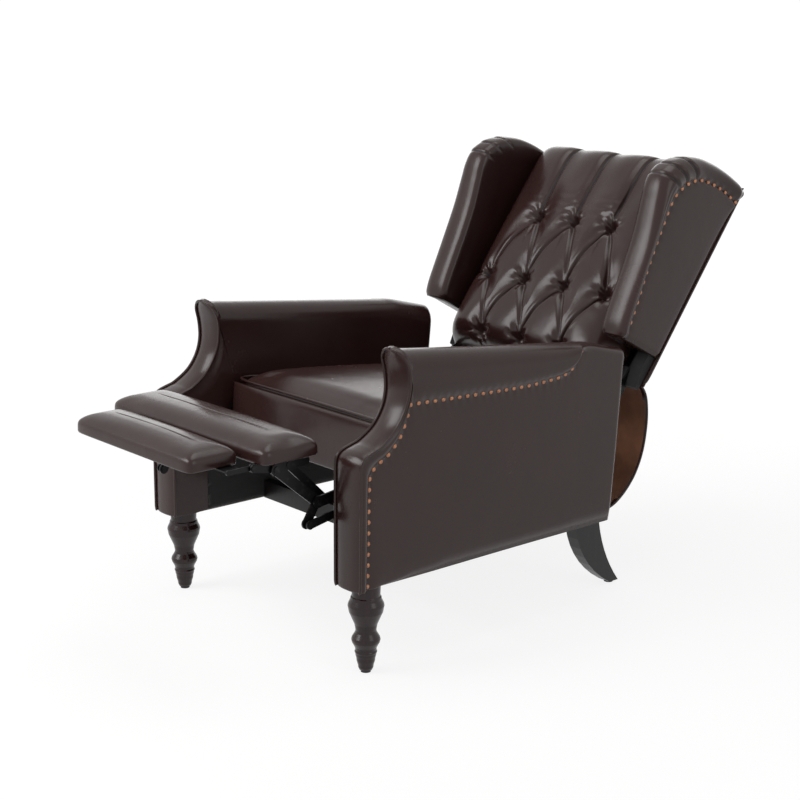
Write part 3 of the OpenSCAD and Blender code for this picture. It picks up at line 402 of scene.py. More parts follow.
class Kit:
    """The nodes of one material or world, and what is needed to add more."""

    def __init__(self, name: str, owner: bpy.types.World | None = None) -> None:
        """Starts an empty node tree.

        Args:
            name: Name of the material.
            owner: The world whose nodes they are, instead of a new material.
        """
        self.material = owner or bpy.data.materials.new(name)
        self.material.use_nodes = True
        self.tree = self.material.node_tree
        self.tree.nodes.clear()

    def add(self, kind: str, inputs: dict | None = None, **settings: object) -> bpy.types.Node:
        """Adds a node, sets its settings and then its sockets.

        Args:
            kind: Blender's type name of the node.
            inputs: Socket name or number to a value, a Number or an output socket.
            **settings: Properties of the node.

        Returns:
            The node.
        """
        node = self.tree.nodes.new(kind)
        for key, value in settings.items():
            setattr(node, key, value)
        for key, value in (inputs or {}).items():
            target = node.inputs[key]
            source = value.socket if isinstance(value, Number) else value
            if isinstance(source, bpy.types.NodeSocket):
                self.tree.links.new(source, target)
            else:
                target.default_value = source
        return node

    def number(
        self, kind: str, output: str | int, inputs: dict | None = None, **settings: object
    ) -> Number:
        """Adds a node and wraps one of its outputs as a Number."""
        return Number(self, self.add(kind, inputs, **settings).outputs[output])

    def place(self) -> bpy.types.NodeSocket:
        """Object coordinates in metres."""
        return self.add("ShaderNodeTexCoord").outputs["Object"]

    def noise(
        self, scale: float, detail: float = 3.0, rough: float = 0.5, stretch: Triple | None = None
    ) -> Number:
        """Noise between 0 and 1.

        Args:
            scale: Number of cells to a metre, or to a unit of the stretched place.
            detail: How many finer noises are added.
            rough: How strong the finer ones are.
            stretch: Scales of the place by axis, for a grain that runs one way.

        Returns:
            The noise.
        """
        place = self.place()
        if stretch:
            place = self.add("ShaderNodeMapping", {"Vector": place, "Scale": stretch}).outputs["Vector"]
        sockets = {"Vector": place, "Scale": scale, "Detail": detail, "Roughness": rough}
        return self.number("ShaderNodeTexNoise", 0, sockets)

    def attribute(self, name: str) -> Number:
        """A number stored on the mesh; 0 where the mesh has none."""
        return self.number("ShaderNodeAttribute", "Fac", attribute_name=name)

    def mix(self, factor: Number, a: object, b: Triple) -> bpy.types.NodeSocket:
        """Colour between a, a triple or a socket, and b."""
        first = (*a, 1.0) if isinstance(a, tuple) else a
        return self.add("ShaderNodeMix", {0: factor, 6: first, 7: (*b, 1.0)}, data_type="RGBA").outputs[2]

    def bump(
        self, height: Number, distance: float, strength: float, base: bpy.types.NodeSocket | None = None
    ) -> bpy.types.NodeSocket:
        """Normal of a surface raised by height times distance, in metres."""
        inputs = {"Height": height, "Distance": distance, "Strength": strength}
        if base is not None:
            inputs["Normal"] = base
        return self.add("ShaderNodeBump", inputs).outputs["Normal"]

    def close(self, **sockets: object) -> bpy.types.Material:
        """Ends the material in a Principled shader.

        Args:
            **sockets: Socket names with underscores for spaces, to values, Numbers or output sockets.

        Returns:
            The finished material.
        """
        shader = self.add("ShaderNodeBsdfPrincipled", {k.replace("_", " "): v for k, v in sockets.items()})
        self.add("ShaderNodeOutputMaterial", {"Surface": shader.outputs[0]})
        return self.material


# Finishes


@dataclass(frozen=True)
class Leather:
    """Smooth glossy bonded leather with a fine grain and slightly uneven gloss."""

    name: str = "dark brown leather"
    colour: Triple = (0.0275, 0.0112, 0.0098)
    worn: Triple = (0.0335, 0.0148, 0.0130)
    # Colour of the painted shade in folds, creases and button cups.
    deep: Triple = (0.005, 0.002, 0.002)
    roughness: float = 0.25
    grain: float = 1100.0
    grain_height: float = 0.00006

    def material(self) -> bpy.types.Material:
        """Builds the node material.

        Returns:
            A leather with painted shade in the folds that the attribute `fold` marks.
        """
        kit = Kit(self.name)
        broad, fine = kit.noise(7.0, 4.0), kit.noise(60.0, 3.0)
        cells = kit.number("ShaderNodeTexVoronoi", "Distance", {"Vector": kit.place(), "Scale": self.grain})
        fold = kit.attribute("fold")
        tone = kit.mix(broad.above(0.35, 0.75), self.colour, self.worn)
        # Painted shade: the tone darkens towards `deep` where the attribute `fold` marks a crease.
        tone = kit.mix(fold.above(0.25, 1.0) * 0.85, tone, self.deep)
        rough = self.roughness + (broad - 0.5) * 0.12 + (fine - 0.5) * 0.06 + fold * 0.12
        wave = kit.bump(kit.noise(28.0, 2.0, 0.4), 0.0011, 0.5)
        skin = kit.bump(cells + kit.noise(420.0, 2.0) * 0.6, self.grain_height, 0.5, wave)
        return kit.close(
            Base_Color=tone, Roughness=rough, Normal=skin, IOR=1.38, Coat_Weight=0.03, Coat_Roughness=0.15
        )


@dataclass(frozen=True)
class Pattern:
    """Values of one noise: cells to a metre, detail, roughness and the stretch by axis."""

    scale: float = 1.0
    detail: float = 3.0
    rough: float = 0.5
    stretch: Triple | None = None

    def of(self, kit: Kit) -> Number:
        """The noise in a kit."""
        return kit.noise(self.scale, self.detail, self.rough, self.stretch)


@dataclass(frozen=True)
class Grained:
    """A hard finish whose tone follows one noise and whose fine relief follows another."""

    name: str
    base: Triple
    spots: Triple
    tone: Pattern
    fine: Pattern
    edges: tuple[float, float] = (0.3, 0.7)
    roughness: float = 0.4
    swing: float = 0.1
    relief: float = 0.00005
    strength: float = 0.4
    metallic: float = 0.0
    ior: float = 1.5
    coat: float = 0.0

    def material(self) -> bpy.types.Material:
        """Builds the node material; its roughness swings with the finer noise, or with the tone on metal."""
        kit = Kit(self.name)
        tone, fine = self.tone.of(kit), self.fine.of(kit)
        return kit.close(
            Base_Color=kit.mix(tone.above(*self.edges), self.base, self.spots),
            Roughness=self.roughness + ((tone if self.metallic else fine) - 0.5) * self.swing,
            Normal=kit.bump(fine, self.relief, self.strength),
            Metallic=self.metallic,
            IOR=self.ior,
            Coat_Weight=self.coat,
            Coat_Roughness=0.12,
        )


@dataclass(frozen=True)
class Lacquer(Grained):
    """Dark stained hardwood with upright grain, under a clear lacquer."""

    tone: Pattern = Pattern(1.0, 6.0, 0.6, (140.0, 140.0, 14.0))
    fine: Pattern = Pattern(1.0, 3.0, 0.7, (900.0, 900.0, 60.0))
    swing: float = 0.08
    ior: float = 1.4
    coat: float = 0.05


@dataclass(frozen=True)
class Cloth:
    """Plain woven or napped cloth, seen as crossing threads from close up."""

    name: str
    light: Triple
    dark: Triple
    threads: float = 70.0
    roughness: float = 0.9

    def material(self) -> bpy.types.Material:
        """Builds the node material; the weave is two crossed sine waves."""
        kit = Kit(self.name)
        warp, weft = (
            kit.number(
                "ShaderNodeTexWave",
                "Fac",
                {"Vector": kit.place(), "Scale": self.threads},
                bands_direction=axis,
                wave_type="BANDS",
                wave_profile="SIN",
            )
            for axis in "XZ"
        )
        nap = kit.noise(35.0, 4.0)
        return kit.close(
            Base_Color=kit.mix(nap.above(0.3, 0.7), self.dark, self.light),
            Roughness=self.roughness + (nap - 0.5) * 0.1,
            Normal=kit.bump(warp * weft + nap * 0.5, 0.00015, 0.5),
            Sheen_Weight=0.15,
        )


class Finishes:
    """Every finish of the chair, built once."""

    def __init__(self) -> None:
        """Builds the materials."""
        self.leather = Leather().material()
        self.nails = Grained(
            "aged copper", (0.52, 0.23, 0.12), (0.31, 0.13, 0.065), Pattern(260.0), Pattern(260.0),
            edges=(0.35, 0.65), roughness=0.42, swing=0.2, relief=0.0001, strength=0.3, metallic=0.55,
        ).material()
        self.mahogany = Lacquer(
            "reddish black lacquer", (0.008, 0.003, 0.004), (0.026, 0.007, 0.008), roughness=0.24
        ).material()
        self.ebony = Lacquer(
            "black lacquer", (0.004, 0.003, 0.003), (0.010, 0.008, 0.007), roughness=0.38
        ).material()
        self.steel = Grained(
            "dark painted steel", (0.012, 0.012, 0.013), (0.045, 0.043, 0.042), Pattern(90.0, 5.0, 0.65),
            Pattern(700.0, 2.0), edges=(0.55, 0.8), roughness=0.38, swing=0.25, metallic=0.75,
        ).material()
        self.plywood = Grained(
            "bare plywood", (0.60, 0.37, 0.21), (0.38, 0.20, 0.10),
            Pattern(1.0, 5.0, 0.6, (6.0, 90.0, 260.0)), Pattern(1.0, 2.0, 0.6, (40.0, 900.0, 900.0)),
            roughness=0.62, swing=0.2, relief=0.0001,
        ).material()
        self.plastic = Grained(
            "matt plastic", (0.02, 0.02, 0.02), (0.03, 0.03, 0.03), Pattern(500.0, 2.0), Pattern(500.0, 2.0),
            edges=(0.0, 1.0), roughness=0.55, strength=0.3,
        ).material()
        self.black_cloth = Cloth("black lining cloth", (0.010,) * 3, (0.005,) * 3).material()
        self.suede = Cloth("brown flap lining", (0.23, 0.095, 0.045), (0.16, 0.062, 0.03), 110.0).material()


# Shared work of the sub-assemblies


@dataclass
class Assembly:
    """What every sub-assembly needs: its finishes, and a way to finish and report its pieces."""

    finishes: Finishes

    def finish_piece(
        self,
        piece: bpy.types.Object,
        body: str,
        material: bpy.types.Material,
        slot: str,
        replaces: Sequence[str] = (),
    ) -> bpy.types.Object:
        """Gives a new piece its material and the body that it moves with.

        Args:
            piece: The piece.
            body: Name of the CAD body.
            material: Its finish.
            slot: The record's material slot; not used.
            replaces: CAD nodes that it stands for.

        Returns:
            The same piece.
        """
        if not piece.data.materials:
            piece.data.materials.append(material)
        if replaces:
            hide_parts(*replaces)
        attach(piece, body)
        LOG.info("%s: %d faces on %s", piece.name, len(piece.data.polygons), body)
        return piece

    def in_leather(
        self, piece: bpy.types.Object, body: str, node: str = "", fill: float = 0.0
    ) -> bpy.types.Object:
        """Args:
            piece: The piece.
            body: Name of the CAD body that it moves with.
            node: CAD node that it stands for, if any.
            fill: How tightly it is stuffed, 0 to 1; not used.

        Returns:
            The same piece.
        """
        self.finish_piece(piece, body, self.finishes.leather, "leather", [node] if node else [])
        return piece


def nail_heads(
    name: str, places: Array, outward: Array, up: Array, radius: float = 5.0, height: float = 2.9
) -> bpy.types.Object:
    """Domed nail heads as one mesh: each is a quarter circle turned round its axis.

    Args:
        name: Name of the piece.
        places: n by 3 centres of the heads' rims, in millimetres.
        outward: Unit vector out of the leather.
        up: Unit vector in the leather's plane.
        radius: Radius of a head.
        height: Height of a head.

    Returns:
        The linked object.
    """
    across = np.cross(outward, up)
    lift = np.radians([-20, 0, 25, 50, 75])
    turn = np.linspace(0, 2 * np.pi, 14, endpoint=False)
    ring = np.cos(turn)[:, None] * across + np.sin(turn)[:, None] * up
    dome = radius * np.cos(lift)[:, None, None] * ring[None] + height * np.sin(lift)[:, None, None] * outward
    tip = (height * outward)[None]
    foot = (height * np.sin(lift[0]) * outward)[None]
    one = np.concatenate([dome.reshape(-1, 3), tip, foot])
    side = grid_faces(len(lift), len(turn), close_columns=True)
    last = (len(lift) - 1) * len(turn)
    j = np.arange(len(turn))
    ends = [(last + j, len(one) - 2), (j, len(one) - 1)]
    caps = [np.stack([k, (k + 1 - k[0]) % len(turn) + k[0], np.full(len(turn), n)], axis=1) for k, n in ends]
    faces = np.concatenate([side, *[np.concatenate([cap, cap[:, -1:]], axis=1) for cap in caps]])
    shift = np.arange(len(places))[:, None, None] * len(one)
    quads = (faces[None] + shift).reshape(-1, 4)
    points = to_row(places[:, None] + one[None])
    return build(name, points, [list(dict.fromkeys(q)) for q in quads.tolist()])


@dataclass
class RolledSide:
    """A padded side whose edge is rolled: an arm or a wing.

    It is drawn in a side plane by three curves with matching knots: the edge, the nail line inside it, and a
    spine that the flat panel runs to. A row of the skin lies between two of these curves.
    """

    edge: Array
    line: Array
    spine: Array
    step: float = 4.0
    border_rows: int = 26
    panel_rows: int = 16
    inner_rows: int = 40

    def panel_share(self) -> Array:
        """Share of the way from the nail line to the spine, by row of the panel."""
        return np.linspace(1, 0, self.panel_rows, endpoint=False) ** 1.3

    def curves(self) -> tuple[Array, Array, Array, Array]:
        """Smooth edge, nail line and spine, point for point, and the knot number of each point."""
        both = np.concatenate([self.edge, self.line, self.spine], axis=1)
        points, knot = through(both, self.step)
        return points[:, :2], points[:, 2:4], points[:, 4:6], knot

    def rows(self) -> tuple[Array, Array, Array, Array, Array]:
        """Places in the side plane of all rows.

        Returns:
            Outer panel (spine to nail line), outer border (nail line to edge) and inner face (edge to spine),
            each rows by columns by 2; the border's share of the way from the edge to the nail line, by row;
            and the inner face's share of the way from the edge to the spine, by row.
        """
        edge, line, spine, _ = self.curves()
        q = np.clip(1 - np.sin(np.linspace(0, np.pi / 2, self.border_rows)), 0, 1)
        c = np.linspace(0, 1, self.inner_rows)[1:] ** 2.2
        panel, border, inner = (
            a[None] * (1 - w[:, None, None]) + b[None] * w[:, None, None]
            for w, a, b in ((self.panel_share(), line, spine), (q, edge, line), (c, edge, spine))
        )
        return panel, border, inner, q, c


# Arms


# An arm's middle and inner face, and the half widths of its roll and of its flat side panel.
ARM_MID = 311.5
ARM_IN = 273.0
ARM_HALF = 38.5
PANEL_HALF = 28.5

# Edge, nail line and spine of an arm (depth, height) at matching places, and the half width at the front.
ARM_KNOTS = np.array(
    [
        [0, 180, 27, 180, 60, 180, 36.6], [0, 290, 29, 290, 120, 180, 37.0],
        [0, 395, 31, 396, 150, 180, 36.9], [0.5, 428, 36, 411, 166, 180, 36.3],
        [7.5, 443.5, 41, 419, 173, 180, 35.8], [18, 451, 48, 425, 181, 180, 35.4],
        [36, 457, 62, 433, 190, 180, 34.6], [55.5, 464, 77, 441, 200, 180, 33.6],
        [88.3, 487, 105, 468, 215, 180, 31.8], [110.7, 518, 122, 500, 226, 180, 31.7],
        [122.1, 551.8, 131, 527, 236, 180, 34.0], [122.1, 590, 136, 531, 246, 180, 37.4],
        [113, 623, 141, 531.5, 254, 180, 38.4], [110, 634, 147, 531.4, 260, 180, 38.5],
        [135, 635, 165, 530.5, 275, 180, 38.5], [200, 627.8, 220, 528, 320, 180, 38.5],
        [420, 604.2, 423, 520.5, 480, 180, 38.5], [513, 594.2, 513, 522, 545, 180, 38.5],
        [557, 589.4, 553, 526, 570, 180, 38.5], [582, 586.8, 579, 536, 585, 180, 38.5],
        [600, 584.8, 594, 552, 597, 180, 38.5], [615, 583.2, 607, 570, 608, 180, 36.0],
        [645, 580, 640, 552, 632, 180, 34.0], [700, 566.6, 696, 538, 680, 180, 34.0],
        [749, 554.2, 743, 526, 715, 180, 34.0],
    ],
    float,
)


@dataclass
class Arm(Assembly):
    """One arm: its padded body, the hourglass panel on its front, piping, nails and inner lining."""

    side: Side = Side.LEFT
    nail_step: float = 21.5
    nails_from: float = 186.0
    welt: float = 3.0
    # How far the strip behind the front panel lies below the panel's face.
    front_sink: float = 6.0
    lining_depth: tuple[float, float] = (88.0, 712.0)
    lining_height: tuple[float, float] = (184.0, 352.0)
    knots: Array = field(default_factory=ARM_KNOTS.copy)

    def weights(self, knot: Array) -> tuple[Array, Array]:
        """How far each column belongs to the front strip and to the roll; the rest is plain."""
        front = 1 - ease((knot - 11.5) / 3.0)
        roll = ease((knot - 11.5) / 3.0) * (1 - ease((knot - 20.0) / 1.6))
        return front, roll

    @staticmethod
    def roll_shape(q: Array) -> Array:
        """Half width of the roll: a quarter circle, a straight side, then a tuck back to the panel."""
        length, straight = 91.0, 66.0
        d = q * length
        top = np.sqrt(np.maximum(ARM_HALF**2 - np.maximum(ARM_HALF - d, 0) ** 2, 0))
        tuck = np.sqrt(np.maximum(ARM_HALF**2 - (d - straight) ** 2, 0))
        return np.where(d < straight, top, tuck)

    def body(self) -> bpy.types.Object:
        """The padded body: side panel, rolled top and inner face, as loops round the arm."""
        skin = RolledSide(self.knots[:, :2], self.knots[:, 2:4], self.knots[:, 4:6])
        edge, line, _, knot = skin.curves()
        width = through(self.knots, skin.step)[0][:, 6]
        front, roll = self.weights(knot)
        panel, border, inner, q, c = skin.rows()
        sink = self.front_sink * front[None, :, None] * left_normals(edge)[None]
        border = border - sink * (1 - q[:, None, None]) ** 2
        inner = inner - sink * (1 - c[:, None, None]) ** 6

        run = run_length(line)
        pucker = pucker_at(run, self.nail_step)
        nailed = ease(knot / 0.2) * (1 - ease((knot - 21.0) / 0.6))
        q2 = q[:, None]
        strip = width * (1 - q2**2) + PANEL_HALF * q2**2 + 3.0 * np.sin(np.pi * q2) ** 1.2
        plain = PANEL_HALF * arch(q2 * 1.15, 2.6)
        outer_x = front * strip + roll * self.roll_shape(q2) + (1 - front - roll) * plain
        outer_x = outer_x - 1.8 * bell((q2 - 1) * 60, 5.0) * pucker * nailed

        p = skin.panel_share()[:, None]
        reach = np.linalg.norm(panel[-1] - panel[0], axis=-1)[None]
        from_foot = (1 - p) * reach
        flat = PANEL_HALF + 1.2 * np.sin(np.pi * np.clip(p, 0, 1)) - 3.0 * bell(from_foot, 2.5)
        flat = flat - 1.4 * bell(p * reach, 7.0) * pucker * nailed + 0.5 * ripple(
            flat.shape, [(0.7, 1.5, 0.1), (1.3, -2.1, 0.6)], p, (run / run[-1])[None]
        )
        dist = np.linalg.norm(inner - edge[None], axis=-1)
        near = width * (1 - ease(dist / 40)) + ARM_HALF * ease(dist / 40)
        inner_x = front * near + (1 - front) * ARM_HALF * arch(dist / 42, 2.1)
        inner_x = inner_x - 2.0 * bell((1 - c[:, None]) * 300, 2.5)
        ends = 1 - 0.10 * bell((run[-1] - run)[None], 3.0)
        outer = np.concatenate([flat, outer_x]) * ends
        inner_x = inner_x * ends
        yz = np.concatenate([panel, border, inner])
        x = np.concatenate([ARM_MID + outer, ARM_MID - inner_x])
        points = np.concatenate([x[..., None], yz], axis=-1)
        return self.mirrored(f"{self.side.word}_arm_leather", points)

    def mirrored(self, name: str, points: Array) -> bpy.types.Object:
        """A capped skin on this arm's side."""
        return capped_loop(name, self.side.mirror(points))

    def front_curve(self) -> tuple[Array, Array, Array]:
        """Front edge from the foot to the scroll's top, its outward normal and the panel's half width.

        The width is the hourglass times an arch over the last stretch, so that the panel ends round.
        """
        knots = np.vstack([self.knots[:13], [[106, 637.5, 0, 0, 0, 0, 38.5]]])
        points, _ = through(knots, 3.0)
        curve, width = points[:, :2], points[:, 6]
        run = run_length(curve)
        left = run[-1] - run
        width = np.maximum(width * np.where(left < ARM_HALF, arch(left / ARM_HALF, 2.0), 1.0), 1.5)
        width = width * (0.9 + 0.1 * arch(run / 12, 2.0))
        return curve, left_normals(curve), width

    def front_panel(self) -> bpy.types.Object:
        """Hourglass pad: across it the face bulges as 1 - |k|^2.6, and its rear is flat."""
        curve, normal, width = self.front_curve()
        k = np.sin(np.linspace(-np.pi / 2, np.pi / 2, 25))[:, None]
        bulge = np.broadcast_to(5.5 * (1 - np.abs(k) ** 2.6) - 4.0, (len(k), len(width)))
        back = np.full((5, len(width)), -11.0)
        rise = np.concatenate([bulge, back])
        across = np.concatenate([k * width, np.linspace(1, -1, 5)[:, None] * width])
        yz = curve[None] + normal[None] * rise[..., None]
        points = np.concatenate([ARM_MID + across[..., None], yz], axis=-1)
        return self.mirrored(f"{self.side.word}_arm_front_leather", points)

    def piping(self) -> bpy.types.Object:
        """Welt along both edges of the front panel and round its top."""
        curve, normal, width = self.front_curve()
        yz = curve - normal * 2.0
        out = np.column_stack([ARM_MID + width + 1.2, yz])
        back = np.column_stack([ARM_MID - width - 1.2, yz])[::-1]
        path = self.side.mirror(respaced(np.vstack([out, back]), 3.0))
        return tube(f"{self.side.word}_arm_piping", path, self.welt)

    def nails(self) -> bpy.types.Object:
        """Copper nails along the nail line, evenly spread."""
        line = through(self.knots[:22, 2:4], 2.0)[0]
        line = line[line[:, 1] > self.nails_from]
        places = respaced(line, self.nail_step)
        x = np.full(len(places), (ARM_MID + PANEL_HALF - 0.6) * self.side.value)
        places, up = np.column_stack([x, places]), np.array([0.0, 0.0, 1.0])
        return nail_heads(f"{self.side.word}_arm_copper_nails", places, self.side.outward, up)

    def lining(self) -> bpy.types.Object:
        """Black cloth on the inner face, below the seat, from behind the front roll to the rear."""
        y = np.linspace(*self.lining_depth, 60)[None]
        z = np.linspace(*self.lining_height, 20)[:, None]
        uneven = ripple((20, 60), [(3, 7, 0), (5, -4, 0.3)], z / 170, y / 620)
        x, y, z = np.broadcast_arrays(ARM_IN - 0.5 - 0.35 * (1 + uneven), y, z)
        front = np.stack([x, y, z], axis=-1)
        rear = front + np.array([0.6, 0, 0])
        points = np.concatenate([front, rear[::-1]])
        return self.mirrored(f"{self.side.word}_arm_lining", points)

    def make(self) -> None:
        """Builds and dresses the arm."""
        word, f = self.side.word, self.finishes
        self.in_leather(self.body(), "base", f"{word}_arm", 0.9)
        self.in_leather(self.front_panel(), "base", f"{word}_arm_front", 0.9)
        self.in_leather(self.piping(), "base")
        self.finish_piece(self.nails(), "base", f.nails, "nails", [f"{word}_arm_nails"])
        self.finish_piece(self.lining(), "base", f.black_cloth, "black_cloth")


# The back, drawn standing up and leaned by the recline angle


@dataclass(frozen=True)
class Lean:
    """Turns points of the upright back (x, t ahead of its rear face, h up) into the measuring frame."""

    foot_y: float = 801.5
    foot_z: float = 396.0
    angle: float = math.radians(37.2)

    def place(self, x: Array, t: Array, h: Array) -> Array:
        """Leans the points back.

        Args:
            x: Width from the middle.
            t: Distance ahead of the back's rear face.
            h: Height along the lean.

        Returns:
            Array with x, y, z last.
        """
        c, s = math.cos(self.angle), math.sin(self.angle)
        x, t, h = np.broadcast_arrays(x, t, h)
        return np.stack([x, self.foot_y - t * c + h * s, self.foot_z + t * s + h * c], axis=-1)

    def directions(self) -> tuple[Array, Array]:
        """Unit vectors ahead (t) and up (h) of the back."""
        c, s = math.cos(self.angle), math.sin(self.angle)
        return np.array([0.0, -c, s]), np.array([0.0, s, c])


# Places of the buttons as width and height, in rows of three, four and three, and the folds between them.
BUTTON_ROWS = {380: (-113, 0, 113), 218: (-185, -62, 62, 185), 76: (-125, 0, 125)}
BUTTONS = np.array([(x, h) for h, row in BUTTON_ROWS.items() for x in row], float)
FOLDS = [(0, 3), (0, 4), (1, 4), (1, 5), (2, 5), (2, 6), (3, 7), (4, 7), (4, 8), (5, 8), (5, 9), (6, 9)]


@dataclass(frozen=True)
class Fold:
    """A straight fold from a button to a place off the pad.

    The valley and the crease in it each have a share of the sink and a breadth. Both lose `fade` of their
    depth by the end. `shade` is how strong the crease's painted shade is, and `shade_fade` how much of it is
    lost by the end.
    """

    button: int
    end: tuple[float, float]
    valley: tuple[float, float]
    crease: tuple[float, float]
    fade: float = 0.0
    shade: float = 0.0
    shade_fade: float = 0.0


@dataclass
class TuftedBack(Assembly):
    """The tufted inside back: deep buttons, diagonal folds and long pleats up to the top edge."""

    lean: Lean = field(default_factory=Lean)
    half: float = 249.0
    foot: float = 45.0
    top: float = 601.0
    rear: float = 22.6
    crown: float = 112.0
    # Height above an upper button and depth of the small wrinkles beside its pleat.
    puffs: tuple[tuple[float, float], ...] = ((24, 0.055), (43, 0.05), (66, 0.03))
    sink: float = 34.0
    columns: int = 281
    rows: int = 311

    @staticmethod
    def off_line(x: Array, h: Array, a: Array, b: Array, bow: float) -> tuple[Array, Array]:
        """Distance to a slightly bowed line from a to b, and the share of the way along it.

        Args:
            x: Widths.
            h: Heights.
            a: Start of the line.
            b: End of the line.
            bow: Greatest sideways bend, in millimetres.

        Returns:
            The signed distance with the ends rounded off, and the share along, 0 to 1.
        """
        d = b - a
        length = float(np.hypot(*d))
        u = ((x - a[0]) * d[0] + (h - a[1]) * d[1]) / length**2
        side = ((x - a[0]) * -d[1] + (h - a[1]) * d[0]) / length
        k = np.clip(u, 0, 1)
        side = side - bow * np.sin(np.pi * k)
        beyond = (u - k) * length
        return np.hypot(side, beyond) * np.sign(side + 1e-9), k

    def edge_folds(self) -> list[Fold]:
        """Folds that run off the pad's sides and foot."""
        side, low = self.half * 1.1, self.foot - 20
        folds = []
        for button, x in ((3, -side), (6, side)):
            end = (x, BUTTONS[button][1] + 6)
            folds.append(Fold(button, end, (0.20, 12.0), (0.16, 2.4), fade=0.5, shade=0.9, shade_fade=0.6))
        for button, x in ((7, -side), (9, side)):
            folds.append(Fold(button, (x, BUTTONS[button][1] - 30), (0.15, 12.0), (0.13, 2.6), fade=0.6))
        for button in (7, 8, 9):
            end = (BUTTONS[button][0] * 1.02, low)
            folds.append(Fold(button, end, (0.20, 10.0), (0.16, 2.4), shade=0.9))
        return folds

    def depth(self, x: Array, h: Array) -> tuple[Array, Array]:
        """Face of the pad ahead of its frame, and the painted shade of its folds, pleats and button cups.

        The face is a crowned rim minus the deepest of: bells at the buttons, narrow valleys with a lip along
        the diagonal folds, long pleats from the upper buttons to the top, and folds off the sides and foot.

        Args:
            x: Widths.
            h: Heights along the lean.

        Returns:
            The height of the face in millimetres, and the painted shade from 0 to 1.
        """
        u = np.abs(x / self.half)
        v = (h - self.foot) / (self.top - self.foot)
        w = np.abs(2 * v - 1)
        rim = np.maximum(1 - u**9, 0) ** 0.42 * np.maximum(1 - w**14, 0) ** 0.45
        crown = self.crown * (0.93 + 0.07 * np.cos(np.pi * u / 2) * np.cos(np.pi * w / 2))
        sunk = np.zeros_like(x + h)
        # `dark` is painted shade: the leather darkens along each fold's and pleat's crease and round each
        # button.
        dark = np.zeros_like(sunk)
        for i, j in FOLDS:
            a, b = BUTTONS[i], BUTTONS[j]
            d, k = self.off_line(x, h, a, b, 10.0 * np.sign(b[0] - a[0]))
            crisp = 1.0 if b[0] < a[0] else 0.66
            near = 0.5 + 0.5 * np.cos(2 * np.pi * k)
            slope = np.where(d * np.sign(b[0] - a[0]) > 0, bell(d, 19.0), bell(d, 7.0))
            valley = crisp * ((0.20 + 0.30 * near) * slope + (0.15 + 0.13 * near) * bell(d, 2.3))
            sunk = np.maximum(sunk, valley) - 0.05 * crisp * bell(np.abs(d) - 9.0, 4.0) * (1 - near)
            dark = np.maximum(dark, bell(d, 2.0) * crisp * (0.6 + 0.4 * near))
        for button in BUTTONS[:3]:
            end = np.array([button[0] * 1.06, self.top + 30])
            d, k = self.off_line(x, h, button, end, 0.0)
            lap = np.where(d < 0, bell(d, 34.0), 0.55 * bell(d, 9.0) + 0.45 * bell(d, 1.6))
            sunk = np.maximum(sunk, (1 + 0.4 * ease(k * 2 - 1)) * (0.27 * lap + 0.12 * bell(d, 1.7)))
            dark = np.maximum(dark, bell(d, 2.0))
        for fold in self.edge_folds():
            d, k = self.off_line(x, h, BUTTONS[fold.button], np.array(fold.end), 0.0)
            depth = sum(share * bell(d, breadth) for share, breadth in (fold.valley, fold.crease))
            sunk = np.maximum(sunk, depth * (1 - fold.fade * k))
            dark = np.maximum(dark, bell(d, 2.2) * (fold.shade - fold.shade_fade * k))
        for n, (bx, bh) in enumerate(BUTTONS):
            r = np.hypot(x - bx, h - bh)
            angle = np.arctan2(h - bh, x - bx)
            star = bell(r - 22, 9.0) * np.cos(8 * angle + 1.7 * n)
            cup = 0.55 * bell(r, 17.0) + 0.50 * bell(r, 8.5)
            sunk = np.maximum(sunk, cup) + 0.045 * star
            dark = np.maximum(dark, bell(r, 7.0) * 0.9)
        for n, (bx, bh) in enumerate(BUTTONS[:3]):
            for place, deep in self.puffs:
                bow = h - bh - place - 0.0016 * (x - bx + 34 + 6 * n) ** 2
                sunk = sunk + deep * bell(x - bx + 34, 24.0) * bell(bow, 5.5)
        small = 0.9 * ripple(sunk.shape, [(3, 2, 0.1), (5, -4, 0.7), (2, 6, 0.4)], x / 500, h / 560)
        return rim * (crown - self.sink * sunk + small), np.clip(dark, 0, 1) * (rim > 0.05)

    def pad(self) -> bpy.types.Object:
        """The pad's skin: the face's grid, with rows closer together near the rim, closed by a flat rear."""
        across, up = (
            0.62 * np.linspace(0, 1, n) + 0.38 * (1 - np.cos(np.linspace(0, np.pi, n))) / 2
            for n in (self.columns, self.rows)
        )
        x = (self.half * (2 * across - 1))[None]
        h = (self.foot + (self.top - self.foot) * up)[:, None]
        face, dark = self.depth(x, h)
        points = self.lean.place(x, self.rear + face, h).reshape(-1, 3)
        top = np.arange(self.rows * self.columns).reshape(self.rows, self.columns)
        border = np.concatenate([top[0, :-1], top[:-1, -1], top[-1, :0:-1], top[:0:-1, 0]])
        fan = np.stack([border, np.roll(border, -1), np.full_like(border, len(points))], axis=1)
        points = np.vstack([points, self.lean.place(0.0, self.rear, (self.foot + self.top) / 2)[None]])
        faces = grid_faces(self.rows, self.columns).tolist() + fan.tolist()
        # The painted shade goes to the leather as the attribute `fold`.
        return build("tufted_back_leather", to_row(points), faces, fold=np.append(dark.reshape(-1), 0.0))

    def buttons(self) -> bpy.types.Object:
        """Covered buttons: low domes that sit in the cups."""
        ahead, up = self.lean.directions()
        seat, _ = self.depth(BUTTONS[:, 0], BUTTONS[:, 1])
        places = self.lean.place(BUTTONS[:, 0], self.rear + seat + 1.2, BUTTONS[:, 1])
        return nail_heads("back_covered_buttons", places, ahead, up, 8.4, 5.0)

    def make(self) -> None:
        """Builds and dresses the pad and its buttons."""
        self.in_leather(self.pad(), "back", "back_pad", 0.8)
        self.in_leather(self.buttons(), "back", "back_buttons")


